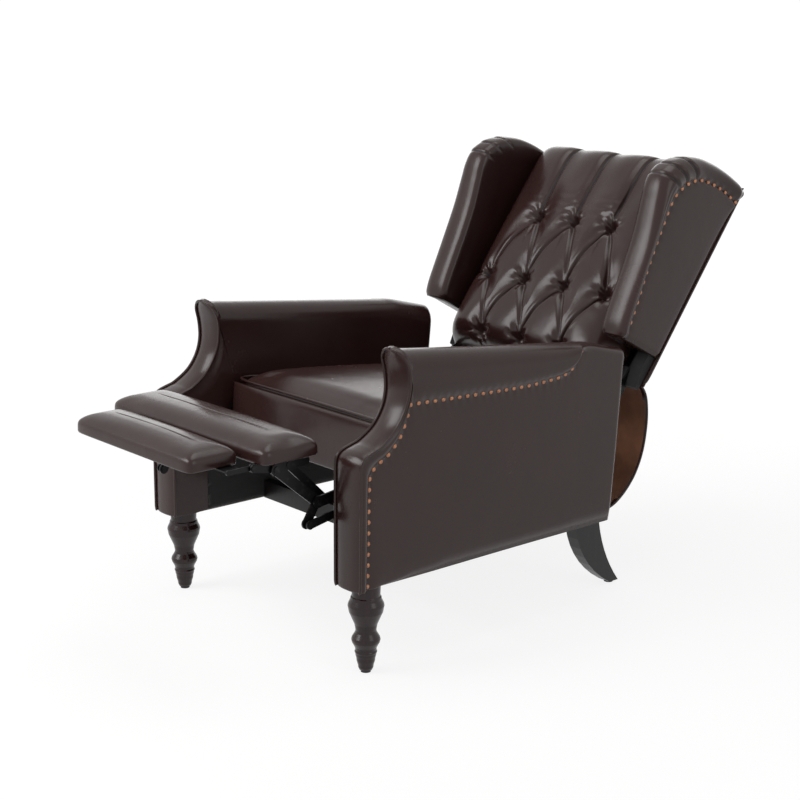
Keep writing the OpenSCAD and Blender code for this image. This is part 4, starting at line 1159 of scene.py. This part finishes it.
# Edge, nail line and spine of a wing, as distance ahead of the back's rear face and height.
WING_KNOTS = np.array(
    [
        [147, 117, 121, 124, 0, 142], [160, 150, 133, 155, 0, 185], [173, 206, 145, 206, 0, 235],
        [187, 275, 163, 275, 0, 295], [204, 341, 176, 341, 0, 350], [227, 404, 187, 404, 0, 400],
        [239, 436, 190, 436, 0, 425], [243, 465, 185, 461, 0, 445], [236, 492, 176, 480, 0, 460],
        [219, 518, 162, 500, 0, 475], [194, 541, 142, 517, 0, 490], [160, 561, 118, 528, 0, 503],
        [120, 575, 84, 538, 0, 515], [78, 584, 46, 545, -1, 525], [36, 589, 8, 547, -2, 532],
        [2, 590, -2, 551, -3.5, 540],
    ],
    float,
)


@dataclass
class Wing(Assembly):
    """One wing: rolled front and top edge with three pleats at its corner, flat side panel and nails."""

    side: Side = Side.LEFT
    lean: Lean = field(default_factory=Lean)
    # Distances from the chair's middle: the wing's middle, outer face and inner face.
    mid: float = 286.0
    outer: float = 312.0
    inner: float = 250.5
    # Distance of the posts' front ahead of the back's rear face.
    post_front: float = 22.9
    flare: float = 9.0
    nail_step: float = 23.0
    nails_from: float = 158.0
    # Knot numbers at which the three pleats lie.
    pleats: tuple[float, ...] = (7.15, 8.35, 9.6)
    knots: Array = field(default_factory=WING_KNOTS.copy)

    def skin(self) -> bpy.types.Object:
        """The wing's skin as loops: side panel, nail crease, rolled border, inner face, with painted shade in
        its creases.
        """
        shape = RolledSide(self.knots[:, :2], self.knots[:, 2:4], self.knots[:, 4:6], step=2.6)
        edge, line, _, knot = shape.curves()
        panel, border, inner, q, c = shape.rows()
        run = run_length(line)
        q2 = q[:, None]
        half = self.outer - self.mid
        pucker = pucker_at(run, self.nail_step)
        pleat = sum(bell(knot - at, 0.085) for at in self.pleats)
        lap = sum(np.where(knot > at, bell(knot - at, 0.4), 0.0) for at in self.pleats)
        span = np.linalg.norm(edge - line, axis=1)
        profile = arch(q2 * 1.5, 2.7)
        bulge = (self.flare + 8.0 * ease((knot - 11.5) / 3.5)) * np.sin(np.pi * q2) ** 0.9
        seam = 1.7 * bell((q2 - 0.58) * span, 2.2) * (1 - ease((knot - 6.0) / 1.5))
        outer_x = half * profile + bulge - 2.4 * bell((q2 - 1) * 40, 4.5) * pucker - seam
        outer_x = outer_x - (5.0 * pleat - 2.4 * lap) * np.sin(np.pi * np.clip(q2, 0, 1)) ** 0.5
        p = shape.panel_share()[:, None]
        reach = np.linalg.norm(panel[-1] - panel[0], axis=-1)[None]
        flat = half + np.sin(np.pi * p) - 1.6 * bell(p * reach, 6.0) * pucker
        flat = flat - 2.0 * bell((1 - p) * reach, 3.0)
        dist = np.linalg.norm(inner - edge[None], axis=-1)
        inner_x = (self.mid - self.inner) * arch(dist / 24, 3.2)
        inner_x = inner_x + 2.5 * np.sin(np.pi * np.clip(dist / 90, 0, 1))
        inner_x = inner_x - 2.4 * pleat * bell(dist - 8, 12.0)
        fall = (2.8 * pleat - 1.2 * lap)[None] * (1 - q2)
        normal = -left_normals(edge)
        border = border - fall[..., None] * normal[None]
        inner = inner - (2.4 * pleat[None] * bell(dist, 14.0))[..., None] * normal[None]
        ends = 1 - 0.16 * bell(run[None], 4.0) - 0.22 * bell((run[-1] - run)[None], 4.0)
        x = np.concatenate([np.concatenate([flat, outer_x]) * ends, -inner_x * ends])
        th = np.concatenate([panel, border, inner])
        rear = np.concatenate([np.zeros(len(panel) + len(border)), (c**3) * self.post_front])[:, None]
        t = np.maximum(th[..., 0], rear * (th[..., 0] < self.post_front))
        points = self.lean.place(self.mid + x, t, th[..., 1])
        # Painted shade: the leather darkens along the nail line, at each nail and in the pleats.
        nailed = 0.7 * bell((q2 - 1) * 40, 2.0) * pucker
        crease = [
            0.7 * bell(p * reach, 3.0) * pucker,
            np.maximum(0.9 * pleat, nailed),
            0.9 * pleat * bell(dist, 16.0),
        ]
        return capped_loop(f"{self.side.word}_wing_leather", self.side.mirror(points), np.concatenate(crease))

    def nails(self) -> bpy.types.Object:
        """Copper nails along the wing's nail line."""
        line = through(self.knots[:, 2:4], 2.0)[0]
        line = line[(line[:, 1] > self.nails_from) | (line[:, 0] < 100)]
        line = line[line[:, 0] > 3]
        places = respaced(line, self.nail_step)
        points = self.lean.place(np.full(len(places), self.outer - 0.8), places[:, 0], places[:, 1])
        _, up = self.lean.directions()
        name = f"{self.side.word}_wing_copper_nails"
        return nail_heads(name, self.side.mirror(points), self.side.outward, up)

    def make(self) -> None:
        """Builds and dresses the wing."""
        word = self.side.word
        self.in_leather(self.skin(), "back", f"{word}_wing", 0.9)
        self.finish_piece(self.nails(), "back", self.finishes.nails, "nails", [f"{word}_wing_nails"])


@dataclass
class OutsideBack(Assembly):
    """The leather panel behind the back, with piping round it."""

    lean: Lean = field(default_factory=Lean)
    half: float = 311.0
    low: float = 69.5
    high: float = 588.0

    def panel(self) -> bpy.types.Object:
        """A flat pad: the face swells by a low pillow form, and its edges are rounded."""
        x = np.linspace(-1, 1, 61)[None]
        h = np.linspace(-1, 1, 61)[:, None]
        swell = pillow(x, h, 8, 8, 0.5)
        face = -0.5 - 3.6 * swell - 0.4 * ripple((61, 61), [(2, 1, 0), (1, -3, 0.4)], x / 2, h / 2) * swell
        hs = self.low + (self.high - self.low) * (h + 1) / 2 + 0 * x
        xs = self.half * x + 0 * h
        front = self.lean.place(xs, face, hs)
        rear = self.lean.place(xs, np.full_like(xs, -0.4), hs)
        return capped_loop("outside_back_leather", np.concatenate([front, rear[::-1]]))

    def piping(self) -> bpy.types.Object:
        """Welt round the panel: a rectangle with rounded corners."""
        a = np.linspace(0, 2 * np.pi, 400, endpoint=False)
        c, s = np.cos(a), np.sin(a)
        x = np.sign(c) * np.abs(c) ** 0.06 * (self.half - 1)
        h = (self.low + self.high) / 2 + np.sign(s) * np.abs(s) ** 0.06 * ((self.high - self.low) / 2 - 1)
        path = self.lean.place(x, -2.0, h)
        path = respaced(np.vstack([path, path[:1]]), 6.0)[:-1]
        return tube("outside_back_piping", path, 2.4, sides=8, closed=True)

    def make(self) -> None:
        """Builds and dresses the panel and its piping."""
        self.in_leather(self.panel(), "back", "outside_back", 0.9)
        self.in_leather(self.piping(), "back")


# Seat and footrest


@dataclass
class Cushion(Assembly):
    """A stuffed pad: a boxy shape that a cloth simulation swells, with its foot held flat."""

    name: str = "cushion"
    body: str = "seat"
    node: str = "seat_cushion"
    half: tuple[float, float] = (259.0, 294.0)
    levels: tuple[tuple[float, float], ...] = ()
    square: float = 0.16
    voxel: float = 0.006
    pressure: float = 4.0
    tension: float = 18.0
    bending: float = 1.5
    frames: int = 20
    cap: float = 0.012
    fill: float = 0.8
    dome: float = 0.0
    place: Callable[[Array], Array] = field(default=lambda p: p)

    def start(self) -> bpy.types.Object:
        """The shape before it swells, from a smooth line through the levels.

        The dome, (1 - x^2)(1 - y^2) over the shares of the half sizes, is added above half the pad's height.
        """
        levels = through(np.array(self.levels, float), 3.0)[0]
        rings = soft_rings(self.half, levels, 420, self.square)
        high = rings[0, -1, 2]
        lift = np.prod(1 - (rings[..., :2] / self.half) ** 2, axis=-1) * ease(rings[..., 2] / high * 2 - 1)
        rings[..., 2] += self.dome * lift
        return capped_loop(self.name, self.place(rings))

    def swell(self, target: bpy.types.Object, held: Array) -> None:
        """Swells a coarse copy of the pad as cloth under inside pressure and lays its movement on the pad.

        A point of the pad moves by the mean movement of the copy's points, weighted by a bell of their
        distance, and no copy's point counts with more than the cap.

        Args:
            target: The pad.
            held: Plane as a, b, c, d in metres; points under it, a x + b y + c z < d, are pinned.
        """
        scene = bpy.context.scene
        piece = bpy.data.objects.new(f"{self.name}_sim", target.data.copy())
        scene.collection.objects.link(piece)
        remesh = piece.modifiers.new("remesh", "REMESH")
        remesh.mode, remesh.voxel_size = "VOXEL", self.voxel
        self.apply(piece, remesh)
        rest = self.points(piece)
        pins = piece.vertex_groups.new(name="held")
        under = np.flatnonzero(rest @ held[:3] < held[3])
        pins.add(under.tolist(), 1.0, "REPLACE")
        cloth = piece.modifiers.new("cloth", "CLOTH")
        settings = cloth.settings
        settings.vertex_group_mass = "held"
        settings.use_pressure, settings.uniform_pressure_force = True, self.pressure
        settings.effector_weights.gravity = 0.0
        settings.tension_stiffness = settings.compression_stiffness = self.tension
        settings.bending_stiffness = self.bending
        cloth.collision_settings.use_collision = False
        cloth.point_cache.frame_start, cloth.point_cache.frame_end = 1, self.frames
        for frame in range(1, self.frames + 1):
            scene.frame_set(frame)
        self.apply(piece, cloth)
        scene.frame_set(1)
        moved = self.points(piece) - rest
        far = np.linalg.norm(moved, axis=1, keepdims=True)
        moved = moved * np.minimum(1.0, self.cap / np.maximum(far, 1e-9))
        bpy.data.objects.remove(piece)
        fine = self.points(target)
        reach = 2 * (1.3 * self.voxel) ** 2
        for part in np.array_split(np.arange(len(fine)), len(fine) // 400 + 1):
            apart = (fine[part] ** 2).sum(1)[:, None] + (rest**2).sum(1)[None] - 2 * fine[part] @ rest.T
            weight = np.exp(-apart / reach)
            fine[part] += weight @ moved / np.maximum(weight.sum(1, keepdims=True), 1e-12)
        target.data.vertices.foreach_set("co", fine.ravel().astype(np.float32))
        target.data.update()

    @staticmethod
    def points(piece: bpy.types.Object) -> Array:
        """The mesh's vertices as an n by 3 array."""
        flat = np.zeros(len(piece.data.vertices) * 3, np.float32)
        piece.data.vertices.foreach_get("co", flat)
        return flat.reshape(-1, 3).astype(float)

    @staticmethod
    def apply(piece: bpy.types.Object, modifier: bpy.types.Modifier) -> None:
        """Puts a modifier's result into the mesh and removes the modifier."""
        depsgraph = bpy.context.evaluated_depsgraph_get()
        depsgraph.update()
        mesh = bpy.data.meshes.new_from_object(piece.evaluated_get(depsgraph), depsgraph=depsgraph)
        piece.modifiers.remove(modifier)
        old, piece.data = piece.data, mesh
        mesh.name = piece.name
        bpy.data.meshes.remove(old)
        smooth(mesh)

    def foot_plane(self, lift: float) -> Array:
        """Plane a little above the pad's foot, from three of its points."""
        a, b, c = to_row(self.place(np.array([[0.0, 0, lift], [1.0, 0, lift], [0, 1.0, lift]])))
        n = np.cross(b - a, c - a)
        n /= np.linalg.norm(n)
        return np.append(n, n @ a)

    def make(self) -> bpy.types.Object:
        """Builds, swells and dresses the pad.

        Returns:
            The finished pad.
        """
        piece = self.start()
        self.swell(piece, self.foot_plane(self.levels[1][1] * 0.7))
        return self.in_leather(piece, self.body, self.node, self.fill)


@dataclass
class Seat(Assembly):
    """The seat: swelled cushion, piping along its front and sides, and the padded panel in front."""

    y: float = 147.0
    z: float = 424.0
    tilt: float = math.radians(4.5)
    depth: float = 588.0
    half: float = 259.0
    square: float = 0.13

    def place(self, points: Array) -> Array:
        """Tilts points of the level seat (y from its front, z from its frame's top)."""
        c, s = math.cos(self.tilt), math.sin(self.tilt)
        x, y, z = np.moveaxis(np.asarray(points, float), -1, 0)
        return np.stack([x, self.y + y * c + z * s, self.z - y * s + z * c], axis=-1)

    def pad_place(self, points: Array) -> Array:
        """Places the cushion's rings, whose middle is at 0, and thins them to the rear."""
        x, y, z = np.moveaxis(np.asarray(points, float), -1, 0)
        back = y + self.depth / 2
        return self.place(np.stack([x, back, 4.3 + z * (1 - 0.28 * back / self.depth)], axis=-1))

    def cushion(self) -> None:
        """The cushion: sewn box sides and a crowned top."""
        levels = (
            (5, 0), (1.5, 5), (0, 14), (0, 32), (1.5, 40), (5, 44), (13, 48.5), (30, 53.5),
            (60, 57), (110, 58), (180, 58.4), (252, 58.5),
        )
        Cushion(
            self.finishes,
            name="seat_cushion_leather",
            half=(self.half - 1, self.depth / 2 - 2),
            levels=levels,
            square=self.square,
            cap=0.010,
            dome=20.0,
            place=self.pad_place,
        ).make()

    def piping(self) -> bpy.types.Object:
        """Welt along the cushion's front and sides, at the top of its box."""
        rings = soft_rings((self.half + 1.0, self.depth / 2 - 0.5), [(0, 45)], 720, self.square)[:, 0]
        path = respaced(np.vstack([rings, rings[:1]]), 5.0)[:-1]
        return tube("seat_piping", self.pad_place(path), 2.7, closed=True)

    def panel(self) -> bpy.types.Object:
        """Padded front panel: wide above, narrower below where the links pass, and slightly swelled."""
        v = np.linspace(0, 1, 50)[:, None]
        u = np.linspace(-1, 1, 81)[None]
        z = -79 + v * 120
        half = 224 + 34 * ease((z + 42) / 4)
        swell = pillow(u, 2 * v - 1, 10, 8, 0.6)
        front = -0.6 - 4.6 * swell - 0.5 * ripple((50, 81), [(1, 3, 0), (2, -2, 0.3)], v, u / 2) * swell
        xs = half * u
        face = np.stack([xs, front, z + 0 * u], axis=-1)
        rear = np.stack([xs, np.full_like(xs, -0.35), z + 0 * u], axis=-1)
        return capped_loop("seat_front_leather", self.place(np.concatenate([face, rear[::-1]])))

    def make(self) -> None:
        """Builds and dresses the seat."""
        self.cushion()
        self.in_leather(self.piping(), "seat")
        self.in_leather(self.panel(), "seat", "seat_border", 0.9)


@dataclass
class Footrest(Assembly):
    """Two padded boards that unfold before the seat."""

    def pad(
        self, name: str, body: str, node: str, half_x: float, front: float, rear: float, z: float
    ) -> None:
        """One padded board.

        Args:
            name: Name of the piece.
            body: Body that it moves with.
            node: CAD node that it stands for.
            half_x: Half width.
            front: Distance of its front edge ahead of the arms.
            rear: Distance of its rear edge ahead of the arms.
            z: Height of its underside.
        """
        half_y = (front - rear) / 2
        levels = (
            (20, -11.8), (3, -11.8), (0.8, -11.3), (0, -9.5), (0, 1), (0.6, 7), (2.8, 12), (7.5, 16.5),
            (15, 20.8), (26, 24.2), (40, 26), (54, 26.6), (half_y - 3, 26.7),
        )
        Cushion(
            self.finishes,
            name=name,
            body=body,
            node=node,
            half=(half_x - 1, half_y - 1),
            levels=levels,
            square=0.14,
            cap=0.003,
            dome=4.6,
            fill=0.9,
            place=lambda p: p + np.array([0.0, -(front + rear) / 2, z]),
        ).make()

    def make(self) -> None:
        """Builds both pads."""
        self.pad("footrest_leather", "footrest", "footrest_pad", 262, 161, 19, 455)
        self.pad("folding_pad_leather", "folding", "folding_pad", 200, 284, 166, 449)


@dataclass
class RearFlap(Assembly):
    """The leather flap between the back's lower edge and the base, lined with brown cloth."""

    half: float = 278.0
    thickness: float = 2.6
    hem: float = 11.0
    # Middle line from the back's lower edge down to the rear rail, as depth and height.
    line: tuple[tuple[float, float], ...] = (
        (842, 445), (869, 447), (889, 428), (899, 400), (902, 352), (893, 292),
        (872, 244), (841, 208), (803, 183), (770, 178), (747, 198),
    )
    # Points in the chair's side plane: one inside the flap's curve, and one at its foot.
    core: tuple[float, float] = (800.0, 330.0)
    foot: tuple[float, float] = (800.0, 190.0)

    def sheet(self) -> tuple[bpy.types.Object, float]:
        """Both faces of the flap, joined at the rim, and the length of its middle line.

        The sides draw in and the lower folds wave a little: the depth is shifted by low sine waves.
        """
        middle = respaced(through(self.line, 4.0)[0], 5.0)
        run = run_length(middle)
        v = (run / run[-1])[None, :, None]
        normal = left_normals(middle)[None]
        u = np.linspace(-1, 1, 91)[:, None, None]
        free = np.sin(np.pi * v) ** 0.8
        wave = 2.2 * np.sin(2.5 * np.pi * u + 0.6) + 1.2 * np.sin(6.1 * np.pi * u + 4 * v)
        wave = free * wave - 3.0 * free * u**2
        at = middle[None] + normal * wave
        x = (u * (self.half - 3.0 * free * u**2))[..., 0]
        outer = np.concatenate([x[..., None], at + normal * self.thickness / 2], axis=-1)
        inner = np.concatenate([x[..., None], at - normal * self.thickness / 2], axis=-1)
        loop = np.concatenate([outer, inner[::-1]])
        piece = capped_loop("rear_flap_leather", loop)
        return piece, float(run[-1])

    def make(self) -> None:
        """Builds the flap and gives each face its finish."""
        piece, length = self.sheet()
        f = self.finishes
        piece.data.materials.append(f.leather)
        piece.data.materials.append(f.suede)
        count = len(piece.data.polygons)
        centres, normals = np.zeros(count * 3), np.zeros(count * 3)
        piece.data.polygons.foreach_get("center", centres)
        piece.data.polygons.foreach_get("normal", normals)
        core = to_row(np.array([0.0, *self.core]))
        away = ((centres.reshape(-1, 3) - core) * normals.reshape(-1, 3))[:, 1:].sum(1)
        inside = (away < 0) & (np.abs(centres.reshape(-1, 3)[:, 0]) < (self.half - self.hem) * MM)
        piece.data.polygons.foreach_set("material_index", inside.astype(np.int32))
        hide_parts("rear_flap")
        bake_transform(piece)
        LOG.info("rear flap: %.0f mm long", length)


# Carried-over frame


class Frame:
    """The CAD pieces that stay: legs, rails, boards and steel work."""

    def __init__(self, nodes: dict, finishes: Finishes) -> None:
        """Keeps the nodes and the finishes."""
        self.nodes, self.finishes = nodes, finishes

    def dress(self) -> None:
        """Gives each node that stays the finish of its kind."""
        f = self.finishes
        kinds = {
            "front_leg": f.mahogany,
            "rear_leg": f.ebony,
            "front_stretcher": f.ebony,
            "corner_blocks": f.plywood,
            "side_rails": f.plywood,
            "cross_rails": f.plywood,
            "_board": f.plywood,
            "rear_rail": f.black_cloth,
            "back_post": f.black_cloth,
            "back_rails": f.black_cloth,
            "glides": f.plastic,
        }
        for name, thing in self.nodes.items():
            found = next((m for key, m in kinds.items() if key in name), f.steel)
            thing.data.materials.clear()
            thing.data.materials.append(found)
        LOG.info("frame: %d nodes dressed", len(self.nodes))


# Studio


# Rays that see the floor and the surroundings as plain white.
WHITE_RAYS = ("Is Camera Ray", "Is Glossy Ray", "Is Transmission Ray")
WHITE = (1.0, 1.0, 1.0, 1.0)
# Place, aim, size and power of each lamp, in metres and watts.
LAMPS = {
    "key": ((-1.6, -3.2, 2.9), (0.0, -0.1, 0.5), (2.6, 1.9), 98.0),
    "fill": ((3.6, 0.4, 1.9), (0.1, 0.1, 0.5), (1.6, 2.4), 17.0),
    "top": ((0.0, 0.4, 3.6), (0.0, 0.1, 0.5), (2.0, 2.0), 28.0),
    "backdrop": ((-3.0, 3.6, 1.5), (0.0, 0.0, 0.5), (5.0, 2.4), 34.0),
}


def stand(thing: bpy.types.Object, axes: Sequence[Array], at: Triple) -> None:
    """Puts an object at a place, turned so that its axes point as given, and links it to the scene."""
    frame = np.eye(4)
    frame[:3] = np.stack([*axes, at], axis=1)
    thing.matrix_world = Matrix(frame.tolist())
    bpy.context.scene.collection.objects.link(thing)


def white_share(kit: Kit) -> Number:
    """1 for the rays that see plain white, else 0."""
    paths = kit.add("ShaderNodeLightPath").outputs
    return sum(Number(kit, paths[kind]) for kind in WHITE_RAYS)


@dataclass
class Studio:
    """Camera, floor, lamps and world."""

    # The camera's place, direction, roll and lens as fitted to the photo, in metres, radians and millimetres.
    camera_at: Triple = (2.7479, -2.4488146, 1.3419)
    azimuth: float = math.radians(48.68)
    elevation: float = math.radians(13.97)
    roll: float = math.radians(0.49)
    lens: float = 78.415
    # The floor's half size and glow, how white it looks near the chair, and from where to where it whitens.
    floor_half: float = 60.0
    floor_glow: float = 1.06
    floor_white: float = 0.80
    far_from: tuple[float, float] = (1.0, 3.2)
    soft_light: float = 0.33

    def camera(self) -> None:
        """The photograph's view: a level orbit angle, then a slight roll."""
        a, e, r = self.azimuth, self.elevation, self.roll
        back = np.array([math.sin(a) * math.cos(e), -math.cos(a) * math.cos(e), math.sin(e)])
        right = np.array([math.cos(a), math.sin(a), 0.0])
        up = np.cross(back, right)
        x = right * math.cos(r) + up * math.sin(r)
        y = -right * math.sin(r) + up * math.cos(r)
        data = bpy.data.cameras.new("camera")
        data.lens, data.sensor_width, data.clip_end = self.lens, 36.0, 200.0
        thing = bpy.data.objects.new("camera", data)
        stand(thing, (x, y, back), self.camera_at)
        bpy.context.scene.camera = thing

    def lamp(self, name: str, at: Triple, aim: Triple, size: tuple[float, float], watts: float) -> None:
        """A rectangular area lamp that faces a point.

        Args:
            name: Name of the lamp.
            at: Its place in metres.
            aim: Where it faces.
            size: Its width and height in metres.
            watts: Its power.
        """
        data = bpy.data.lights.new(name, "AREA")
        data.shape, data.size, data.size_y, data.energy = "RECTANGLE", size[0], size[1], watts
        thing = bpy.data.objects.new(name, data)
        z = np.array(at, float) - np.array(aim, float)
        z /= np.linalg.norm(z)
        x = np.cross([0.0, 0.0, 1.0], z) if abs(z[2]) < 0.99 else np.array([1.0, 0.0, 0.0])
        x /= np.linalg.norm(x)
        thing.visible_camera = False
        stand(thing, (x, np.cross(z, x), z), at)

    def floor(self) -> None:
        """A wide pale floor that keeps a soft shadow near the chair and looks white further out."""
        points = np.array([[-1, -1, 0], [1, -1, 0], [1, 1, 0], [-1, 1, 0]], float) * self.floor_half
        mesh = bpy.data.meshes.new("floor")
        mesh.from_pydata(points.tolist(), [], [[0, 1, 2, 3]])
        thing = bpy.data.objects.new("floor", mesh)
        bpy.context.scene.collection.objects.link(thing)
        kit = Kit("pale floor")
        share = white_share(kit)
        distance = kit.number("ShaderNodeVectorMath", "Value", {0: kit.place()}, operation="LENGTH")
        seen = share * (self.floor_white + distance.above(*self.far_from) * (1 - self.floor_white))
        matt = kit.add("ShaderNodeBsdfDiffuse", {"Color": (0.9, 0.9, 0.9, 1.0)})
        glow = kit.add("ShaderNodeEmission", {"Color": WHITE, "Strength": self.floor_glow})
        mixed = kit.add("ShaderNodeMixShader", {0: seen, 1: matt.outputs[0], 2: glow.outputs[0]})
        kit.add("ShaderNodeOutputMaterial", {"Surface": mixed.outputs[0]})
        mesh.materials.append(kit.material)

    def world(self) -> None:
        """Even pale surroundings, white to the camera."""
        world = bpy.data.worlds.new("studio")
        bpy.context.scene.world = world
        kit = Kit("studio", world)
        share = white_share(kit)
        soft = kit.add("ShaderNodeBackground", {"Color": (1.0, 0.98, 0.97, 1.0), "Strength": self.soft_light})
        white = kit.add("ShaderNodeBackground", {"Color": WHITE, "Strength": 1.0})
        mixed = kit.add("ShaderNodeMixShader", {0: share, 1: soft.outputs[0], 2: white.outputs[0]})
        kit.add("ShaderNodeOutputWorld", {"Surface": mixed.outputs[0]})

    def make(self) -> None:
        """Sets up the whole studio."""
        self.camera()
        self.floor()
        self.world()
        for name, settings in LAMPS.items():
            self.lamp(name, *settings)
        bpy.context.scene.view_settings.view_transform = "Standard"


def main() -> None:
    """Loads the frame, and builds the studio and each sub-assembly."""
    logging.basicConfig(level=logging.INFO, format="%(message)s")
    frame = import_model()
    Studio().make()
    finishes = Finishes()
    Frame(frame["nodes"], finishes).dress()
    for side in Side:
        Arm(finishes, side=side).make()
        Wing(finishes, side=side).make()
    TuftedBack(finishes).make()
    OutsideBack(finishes).make()
    Seat(finishes).make()
    Footrest(finishes).make()
    RearFlap(finishes).make()


if __name__ == "__main__":
    main()
